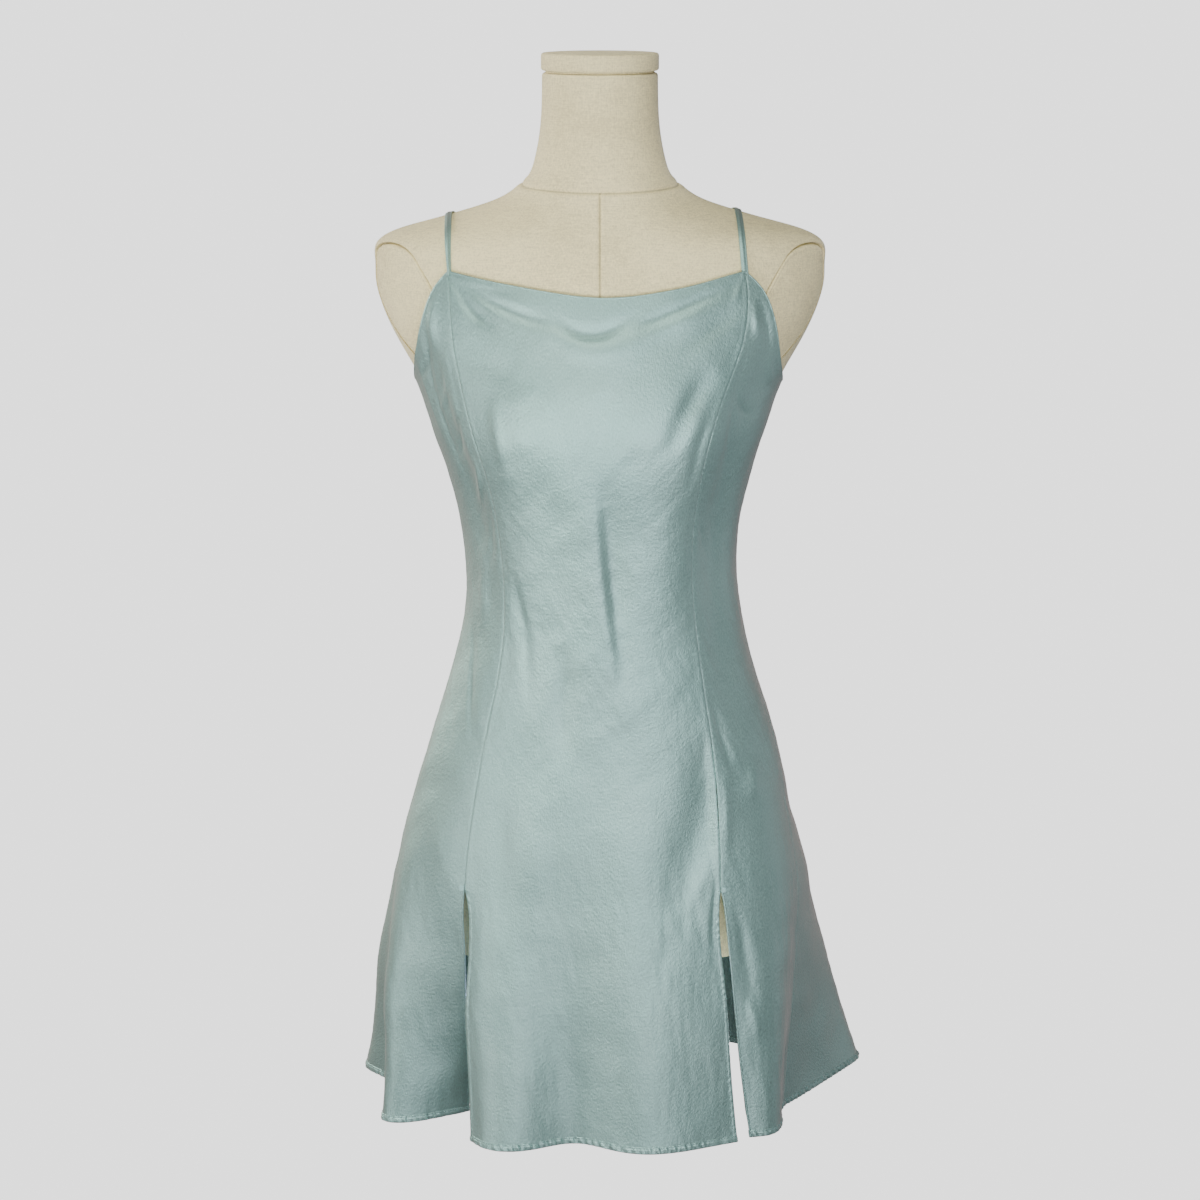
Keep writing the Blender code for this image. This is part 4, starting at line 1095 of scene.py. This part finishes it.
SIDE_RIGHT_CREASES = [
    (0.02, 0.782, 0.06, 0.760, 0.12, 0.742, 0.0050, 0.0020, 0.0),
    (0.07, 0.785, 0.17, 0.752, 0.31, 0.720, 0.0040, -0.0017, 0.0),
    (0.03, 0.740, 0.15, 0.674, 0.28, 0.610, 0.0060, -0.0014, 0.0),
    (0.03, 0.425, 0.10, 0.380, 0.18, 0.330, 0.0050, -0.0020, 0.3),
    (0.08, 0.352, 0.05, 0.300, 0.02, 0.250, 0.0060, 0.0017, 0.0),
    (0.44, 0.355, 0.36, 0.330, 0.30, 0.310, 0.0090, 0.0020, 0.0),
    (0.09, 0.135, 0.13, 0.112, 0.14, 0.090, 0.0060, 0.0020, 0.0),
    (0.09, 0.225, 0.115, 0.170, 0.12, 0.115, 0.0060, -0.0017, 0.0),
    (0.22, 0.780, 0.25, 0.600, 0.25, 0.250, 0.0180, -0.0045, 0.0),
    (0.20, 0.750, 0.34, 0.715, 0.52, 0.702, 0.0040, 0.0012, 0.0),
    (0.10, 0.700, 0.24, 0.680, 0.45, 0.675, 0.0040, -0.0012, 0.0),
    (0.05, 0.590, 0.12, 0.560, 0.22, 0.545, 0.0040, -0.0010, 0.0),
    (0.04, 0.480, 0.10, 0.450, 0.20, 0.425, 0.0040, 0.0010, 0.0),
]
BACK_CREASES = [
    (0.35, 0.712, 0.32, 0.670, 0.27, 0.620, 0.0100, 0.0020, 0.2),
    (0.36, 0.712, 0.41, 0.670, 0.46, 0.630, 0.0090, -0.0020, 0.0),
    (0.65, 0.712, 0.68, 0.672, 0.74, 0.625, 0.0100, 0.0020, 0.0),
    (0.64, 0.712, 0.59, 0.668, 0.55, 0.625, 0.0090, -0.0020, 0.0),
    (0.42, 0.560, 0.44, 0.500, 0.40, 0.430, 0.0110, -0.0032, 0.3),
    (0.52, 0.600, 0.50, 0.520, 0.53, 0.420, 0.0120, 0.0026, 0.0),
    (0.60, 0.560, 0.58, 0.490, 0.62, 0.410, 0.0100, -0.0029, 0.3),
    (0.30, 0.530, 0.33, 0.480, 0.29, 0.410, 0.0090, -0.0023, 0.0),
    (0.71, 0.520, 0.70, 0.470, 0.74, 0.400, 0.0100, 0.0023, 0.0),
    (0.20, 0.480, 0.16, 0.430, 0.10, 0.380, 0.0090, -0.0023, 0.0),
    (0.82, 0.480, 0.86, 0.430, 0.92, 0.380, 0.0090, -0.0023, 0.0),
    (0.50, 0.330, 0.48, 0.250, 0.50, 0.170, 0.0140, -0.0026, 0.0),
    (0.24, 0.330, 0.23, 0.240, 0.22, 0.150, 0.0140, 0.0023, 0.0),
    (0.78, 0.330, 0.80, 0.240, 0.81, 0.150, 0.0150, -0.0026, 0.0),
]
# columns: wavelength, size and lean of the uneven waves that washing leaves, and the heights
# between which each kind is strongest
WASHED_WAVES = [
    (0.050, 0.00022, None, -1.0, 2.0),
    (0.013, 0.00004, None, -1.0, 2.0),
    (0.022, 0.00006, 2.3, 0.30, 0.75),
    (0.010, 0.00010, 0.15, -0.20, 0.26),
    (0.009, 0.00007, 0.50, 0.32, 0.60),
]

STITCH_PITCH, STITCH_LENGTH, THREAD_RADIUS = 0.0026, 0.0021, 0.00026
STITCH_SHOWS = 0.4            # share of the thread's radius that its middle lies over the cloth
# columns and rows count the steps of a panel's middle. Of its first and last edge, slits says
# which hangs open below the hips (1), and lifts how far the seam's allowance lifts the face.
# turned has each turned edge's width, thickness, pucker and period of roping, and cut the
# panel's flat width and length, and its area.
PANELS = {
    "front_panel": dict(
        panel=Panel(1, 2, NECKLINE, FRONT_HEM, (1, 2)), columns=86, rows=254,
        creases=FRONT_CREASES, slits=(1, 1), lifts=(1.0, 1.0), seed=11,
        cut=(0.290, 0.815, 0.190),
        turned=[("hem", 0.0062, 0.0009, 0.00065, 0.0090),
                ("top", 0.0026, 0.0004, 0.00014, 0.0070),
                ("first", 0.0050, 0.0005, 0.00012, 0.0110),
                ("last", 0.0048, 0.0006, 0.00014, 0.0075)]),
    "side_front_left": dict(
        panel=Panel(0, 1, ARMHOLE, SIDE_LEFT_HEM, (None, 0)), columns=46, rows=254,
        creases=SIDE_LEFT_CREASES, slits=(0, 1), lifts=(1.0, 0.2), seed=23,
        cut=(0.150, 0.815, 0.094),
        turned=[("hem", 0.0062, 0.0009, 0.00065, 0.0085),
                ("top", 0.0020, 0.0003, 0.00010, 0.0055),
                ("last", 0.0030, 0.0006, 0.00014, 0.0080)]),
    "side_front_right": dict(
        panel=Panel(2, 3, [(1 - share, height) for share, height in reversed(ARMHOLE)],
                    SIDE_RIGHT_HEM, (3, None)), columns=46, rows=254,
        creases=SIDE_RIGHT_CREASES, slits=(1, 0), lifts=(0.2, 1.0), seed=37,
        cut=(0.150, 0.815, 0.086),
        turned=[("hem", 0.0062, 0.0009, 0.00065, 0.0085),
                ("top", 0.0020, 0.0003, 0.00010, 0.0055),
                ("first", 0.0028, 0.0007, 0.00020, 0.0052)]),
    "back_panel": dict(
        panel=Panel(3, 0, BACK_NECK, BACK_HEM), columns=120, rows=196,
        creases=BACK_CREASES, slits=(0, 0), lifts=(0.2, 0.2), seed=41,
        cut=(0.680, 0.725, 0.365),
        turned=[("hem", 0.0062, 0.0009, 0.00065, 0.0085),
                ("top", 0.0030, 0.0005, 0.00014, 0.0070)]),
}

stitch_places = []
for name, data in PANELS.items():
    places, flat = panel_places(data)
    cloth = grid_object(f"satin_{name}", places, flat)
    wall = cloth.modifiers.new("wall", "SOLIDIFY")
    wall.thickness, wall.offset = SATIN_WALL, -1
    apply_modifiers(cloth)
    pieces = [cloth]
    for edge, *sizes in data["turned"]:
        strip, centres, normals = turned_edge(f"{name}_{edge}", data, edge, *sizes)
        pieces.append(strip)
        stitch_places.append((centres, normals))
    cloth = join(f"satin_{name}", pieces)
    finish_piece(cloth, satin, "washed_satin", name)

# ---------------------------------------------------------------------------
# Stitching: one row of matching polyester thread along every turned edge, and a bartack of
# close threads across the top of each slit.
# ---------------------------------------------------------------------------
THREAD = (0.34, 0.56, 0.56)
THREAD_FLATTENED = 0.8        # a stitch's height for its breadth
BARTACK_THREADS, BARTACK_LENGTH, BARTACK_HEIGHT = 11, 0.0052, 0.0042
BARTACK_OUT, BARTACK_LIFT, BARTACK_BELOW = 0.0021, 0.0011, 0.001
PLY, PLY_BUMP = 4000.0, (0.4, 0.0001)   # its fibres to the metre, and their relief

thread, thread_tree, thread_shader = new_material("matching_thread", THREAD, roughness=0.5)
ply = noise(thread_tree, add_node(thread_tree, "ShaderNodeTexCoord").outputs["Object"], PLY,
            detail=1.0)
thread_tree.links.new(bump(thread_tree, ply, *PLY_BUMP), thread_shader.inputs["Normal"])


def stitch_copies(pattern, places, normals, ways, length):
    """Copies of one stitch, each laid at its place, its own way, on the cloth's face."""
    copies = []
    for place, normal, way in zip(places, normals, ways):
        copy = pattern.copy()
        copy.data = pattern.data.copy()
        along = Vector(way).normalized()
        up = (Vector(normal) - along * Vector(normal).dot(along)).normalized()
        turn = Matrix((along, up.cross(along), up)).transposed().to_4x4()
        longer = Matrix.Diagonal((length / STITCH_LENGTH, 1, 1, 1))
        copy.matrix_world = Matrix.Translation(place) @ turn @ longer
        bpy.context.scene.collection.objects.link(copy)
        copies.append(copy)
    return copies


deselect_all()
bpy.ops.mesh.primitive_uv_sphere_add(segments=6, ring_count=5, radius=THREAD_RADIUS,
                                     rotation=(0, math.pi / 2, 0))
pattern = bpy.context.object
bpy.ops.object.transform_apply(location=True, rotation=True, scale=True)
bpy.ops.transform.resize(value=(STITCH_LENGTH / (2 * THREAD_RADIUS), 1, THREAD_FLATTENED))
bpy.ops.object.transform_apply(location=True, rotation=True, scale=True)
stitches = []
for places, normals in stitch_places:
    stitches += stitch_copies(pattern, places, normals, np.gradient(places, axis=0), STITCH_LENGTH)
for side in (0, 1):
    run = np.linspace(0, 1, BARTACK_THREADS)
    height = SLIT_TOP - BARTACK_BELOW + BARTACK_HEIGHT * run
    base, normals, _ = drape(PANELS["front_panel"], side + 0 * run, height)
    base[:, 0] += (2 * side - 1) * BARTACK_OUT
    stitches += stitch_copies(pattern, base + normals * BARTACK_LIFT, normals,
                              [(1, 0, 0)] * len(run), BARTACK_LENGTH)
bpy.data.objects.remove(pattern, do_unlink=True)
stitching = join("thread_stitching", stitches)
select_only(stitching)
bpy.ops.object.transform_apply(location=True, rotation=True, scale=True)
finish_piece(stitching, thread, None)

# ---------------------------------------------------------------------------
# Straps: narrow tubes of the same satin, turned and pressed flat. Each is caught in the
# front corner, twists on its way up, lies over the shoulder and is sewn to the back.
# ---------------------------------------------------------------------------
# columns: x at the front corner, over the shoulder and at the back; twist at the front, in
# degrees, and width there
STRAPS = {
    "strap_left": (-0.1340, -0.1387, -0.0850, -58.0, 0.0042),
    "strap_right": (0.1298, 0.1262, 0.0850, 10.0, 0.0062),
}
STRAP_BACK_HEIGHT = 0.7176
STRAP_TUCKED = 0.0060         # how far the front end runs down behind the corner
STRAP_LENGTH, STRAP_WIDTH, STRAP_THICKNESS, STRAP_RIDGE = 0.42, 0.0068, 0.0014, 0.00022
STRAP_STEPS, STRAP_SIDES, STRAP_HALVINGS = 60, 40, 30
STRAP_LIFT, STRAP_END_LIFT = 0.0004, 0.0016   # how far it lies off the form, at the top and ends
STRAP_DROP, STRAP_LEAN, STRAP_LEAVES = 2, 1.7, 6   # powers of its fall, its slant and its lift
STRAP_TWISTS_FROM = 0.25      # share of the way to the front end at which it starts to twist
STRAP_SQUARE_WIDE, STRAP_SQUARE_THICK = 0.7, 0.8   # lower makes the section squarer
STRAP_RIDGES, STRAP_RIDGES_TURN = 3, 0.8   # half waves across its face, and how they are shifted
SHOULDER_FROM = 0.82


def shoulder_height(x):
    """Height of the form's shoulder line over a distance to the side."""
    return last_passing(lambda height: form_curve.at(height)[0] > abs(x),
                        SHOULDER_FROM, NECK_TOP, STRAP_HALVINGS)


def section_angle(x, height, behind):
    """The angle at which the form's section reaches x at this height, in front or behind."""
    half_width, front, back, fullness, lean = form_curve.at(height)

    def short_of_it(angle):
        return ring(angle, half_width, half_width, front, back, fullness, lean)[0] < abs(x)

    angle = last_passing(short_of_it, 0.0, math.pi / 2, STRAP_HALVINGS)
    return math.copysign(math.pi - angle if behind else angle, x)


def strap_places(front_x, top_x, back_x, twist, end_width):
    """Points of a strap's flat tube, from its front end over the shoulder to its back end."""
    rows = []
    for step in range(-STRAP_STEPS, STRAP_STEPS + 1):
        away = abs(step) / STRAP_STEPS
        behind = step > 0
        end_height = (STRAP_BACK_HEIGHT if behind else STRAP_HEIGHT) - STRAP_TUCKED
        x = top_x + ((back_x if behind else front_x) - top_x) * away ** STRAP_LEAN
        top = shoulder_height(x)
        height = top - (top - end_height) * away ** STRAP_DROP
        angle = section_angle(x, height, behind)
        point = form_surface(np.array(angle), np.array(height))
        normal = normals_of(form_surface, np.array(angle), np.array(height))
        lift = STRAP_LIFT + (STRAP_END_LIFT - STRAP_LIFT) * away ** STRAP_LEAVES
        width = STRAP_WIDTH + (end_width - STRAP_WIDTH) * away ** 2
        turn = 0.0 if behind else math.radians(twist) * smooth(STRAP_TWISTS_FROM, 1.0, away)
        rows.append((point + normal * (lift + STRAP_THICKNESS / 2), normal, width, turn))
    points = np.array([row[0] for row in rows])
    ahead = np.gradient(points, axis=0)
    ahead /= np.linalg.norm(ahead, axis=-1, keepdims=True)
    places = np.empty((len(rows), STRAP_SIDES + 1, 3))
    for index, (point, normal, width, turn) in enumerate(rows):
        sideways = np.cross(ahead[index], normal)
        sideways /= np.linalg.norm(sideways)
        outward = np.cross(sideways, ahead[index])
        flat_way = sideways * math.cos(turn) + outward * math.sin(turn)
        thick_way = outward * math.cos(turn) - sideways * math.sin(turn)
        raised = abs(math.sin(turn)) * width / 2
        for side in range(STRAP_SIDES + 1):
            way = 2 * math.pi * side / STRAP_SIDES
            cosine, sine = math.cos(way), math.sin(way)
            wide = math.copysign(abs(cosine) ** STRAP_SQUARE_WIDE, cosine) * width / 2
            thick = math.copysign(abs(sine) ** STRAP_SQUARE_THICK, sine) * STRAP_THICKNESS / 2
            ridged = math.cos(STRAP_RIDGES * math.pi * wide / width + STRAP_RIDGES_TURN)
            thick += STRAP_RIDGE * ridged * max(sine, 0)
            places[index, side] = point + outward * raised + flat_way * wide + thick_way * thick
    return places


for name, sizes in STRAPS.items():
    places = strap_places(*sizes)
    along, round_way = np.meshgrid(np.linspace(0, STRAP_LENGTH, places.shape[0]),
                                   np.linspace(0, 2 * STRAP_WIDTH, places.shape[1]), indexing="ij")
    strap = grid_object(f"satin_{name}", places, np.stack([round_way, along], axis=-1))
    close_loft(strap)
    finish_piece(strap, satin, "washed_satin", name, sharp_angle=60)

# ---------------------------------------------------------------------------
# Studio: a plain pale floor and backdrop. Soft lamps stand in front, overhead and behind on
# the left, low ones stand for light thrown back by the floor, and a tiny one lights the
# inside of each slit. The camera is a little above the bust and looks slightly down.
# ---------------------------------------------------------------------------
BACKDROP = (2.08, 2.08, 2.08, 1)
FILL, FILL_STRENGTH = (1.0, 1.0, 1.0, 1), 0.085   # the even light from all round
FLOOR_SIZE, FLOOR_BELOW = 160, 0.0005
CAMERA_DISTANCE, CAMERA_HEIGHT, CAMERA_TILT = 3.033, 1.129, 11.77
CAMERA_LENS, CAMERA_SENSOR = 99.0, 36.0

deselect_all()
bpy.ops.mesh.primitive_plane_add(size=FLOOR_SIZE, location=(0, 0, -FLOOR_BELOW))
floor = bpy.context.object
floor.name = floor.data.name = "studio_floor"
floor_material = bpy.data.materials.new("studio_floor")
floor_material.use_nodes = True
floor_tree = floor_material.node_tree
floor_tree.nodes.remove(floor_tree.nodes["Principled BSDF"])
glow = add_node(floor_tree, "ShaderNodeEmission", Color=BACKDROP, Strength=1.0)
floor_tree.links.new(glow.outputs[0], floor_tree.nodes["Material Output"].inputs["Surface"])
floor.data.materials.append(floor_material)
floor.visible_diffuse = floor.visible_glossy = floor.visible_shadow = False

world = bpy.context.scene.world or bpy.data.worlds.new("studio")
bpy.context.scene.world = world
world.use_nodes = True
air = world.node_tree
air.nodes.clear()
seen = add_node(air, "ShaderNodeBackground", Color=BACKDROP, Strength=1.0)
fill = add_node(air, "ShaderNodeBackground", Color=FILL, Strength=FILL_STRENGTH)
choose = add_node(air, "ShaderNodeMixShader",
                  [("Fac", add_node(air, "ShaderNodeLightPath").outputs["Is Camera Ray"])])
air.links.new(fill.outputs[0], choose.inputs[1])
air.links.new(seen.outputs[0], choose.inputs[2])
air.links.new(choose.outputs[0], add_node(air, "ShaderNodeOutputWorld").inputs["Surface"])

MIDDLE = (0.0, 0.0, 0.60)
# columns: name, place, size, power, colour, point aimed at
LIGHTS = [
    ("low_left", (-2.35, -1.72, 0.05), 1.2, 28.0, (1.0, 0.92, 0.91), MIDDLE),
    ("near_left", (-0.35, -0.75, 0.60), 0.3, 3.2, (0.97, 1.0, 0.93), (0.0, 0.0, 0.57)),
    ("near_right", (0.35, -0.90, 0.60), 0.4, 3.1, (0.93, 0.97, 1.0), (0.0, 0.0, 0.57)),
    ("front", (0.15, -2.88, 1.38), 1.2, 17.5, (1.0, 1.0, 0.97), MIDDLE),
    ("top", (-0.20, -1.50, 3.20), 1.0, 48.0, (1.0, 0.98, 0.86), MIDDLE),
    ("window", (-2.44, 1.41, 1.63), 1.2, 78.0, (1.0, 0.95, 0.84), MIDDLE),
    ("low_right", (0.70, -2.88, -0.25), 1.2, 21.0, (1.0, 0.91, 0.96), MIDDLE),
    ("right", (2.89, 0.78, 0.05), 1.2, 6.5, (0.93, 0.95, 1.0), MIDDLE),
    ("inside", (0.150, -0.078, 0.080), 0.03, 0.12, (0.97, 0.94, 1.0), (0.122, -0.064, 0.215)),
    ("inside_left", (-0.085, -0.040, 0.090), 0.03, 0.20, (0.66, 0.62, 1.0),
     (-0.114, -0.072, 0.225)),
]
for name, place, size, power, color, aim in LIGHTS:
    light = bpy.data.lights.new(name, "AREA")
    light.shape, light.size, light.energy, light.color = "SQUARE", size, power, color
    lamp = bpy.data.objects.new(name, light)
    lamp.location = place
    lamp.visible_camera = False
    lamp.rotation_euler = (Vector(aim) - Vector(place)).to_track_quat("-Z", "Y").to_euler()
    bpy.context.scene.collection.objects.link(lamp)

camera = bpy.data.objects.new("camera", bpy.data.cameras.new("camera"))
camera.data.lens, camera.data.sensor_width = CAMERA_LENS, CAMERA_SENSOR
camera.location = (0, -CAMERA_DISTANCE, CAMERA_HEIGHT)
camera.rotation_euler = (math.radians(90 - CAMERA_TILT), 0, 0)
bpy.context.scene.collection.objects.link(camera)
bpy.context.scene.camera = camera
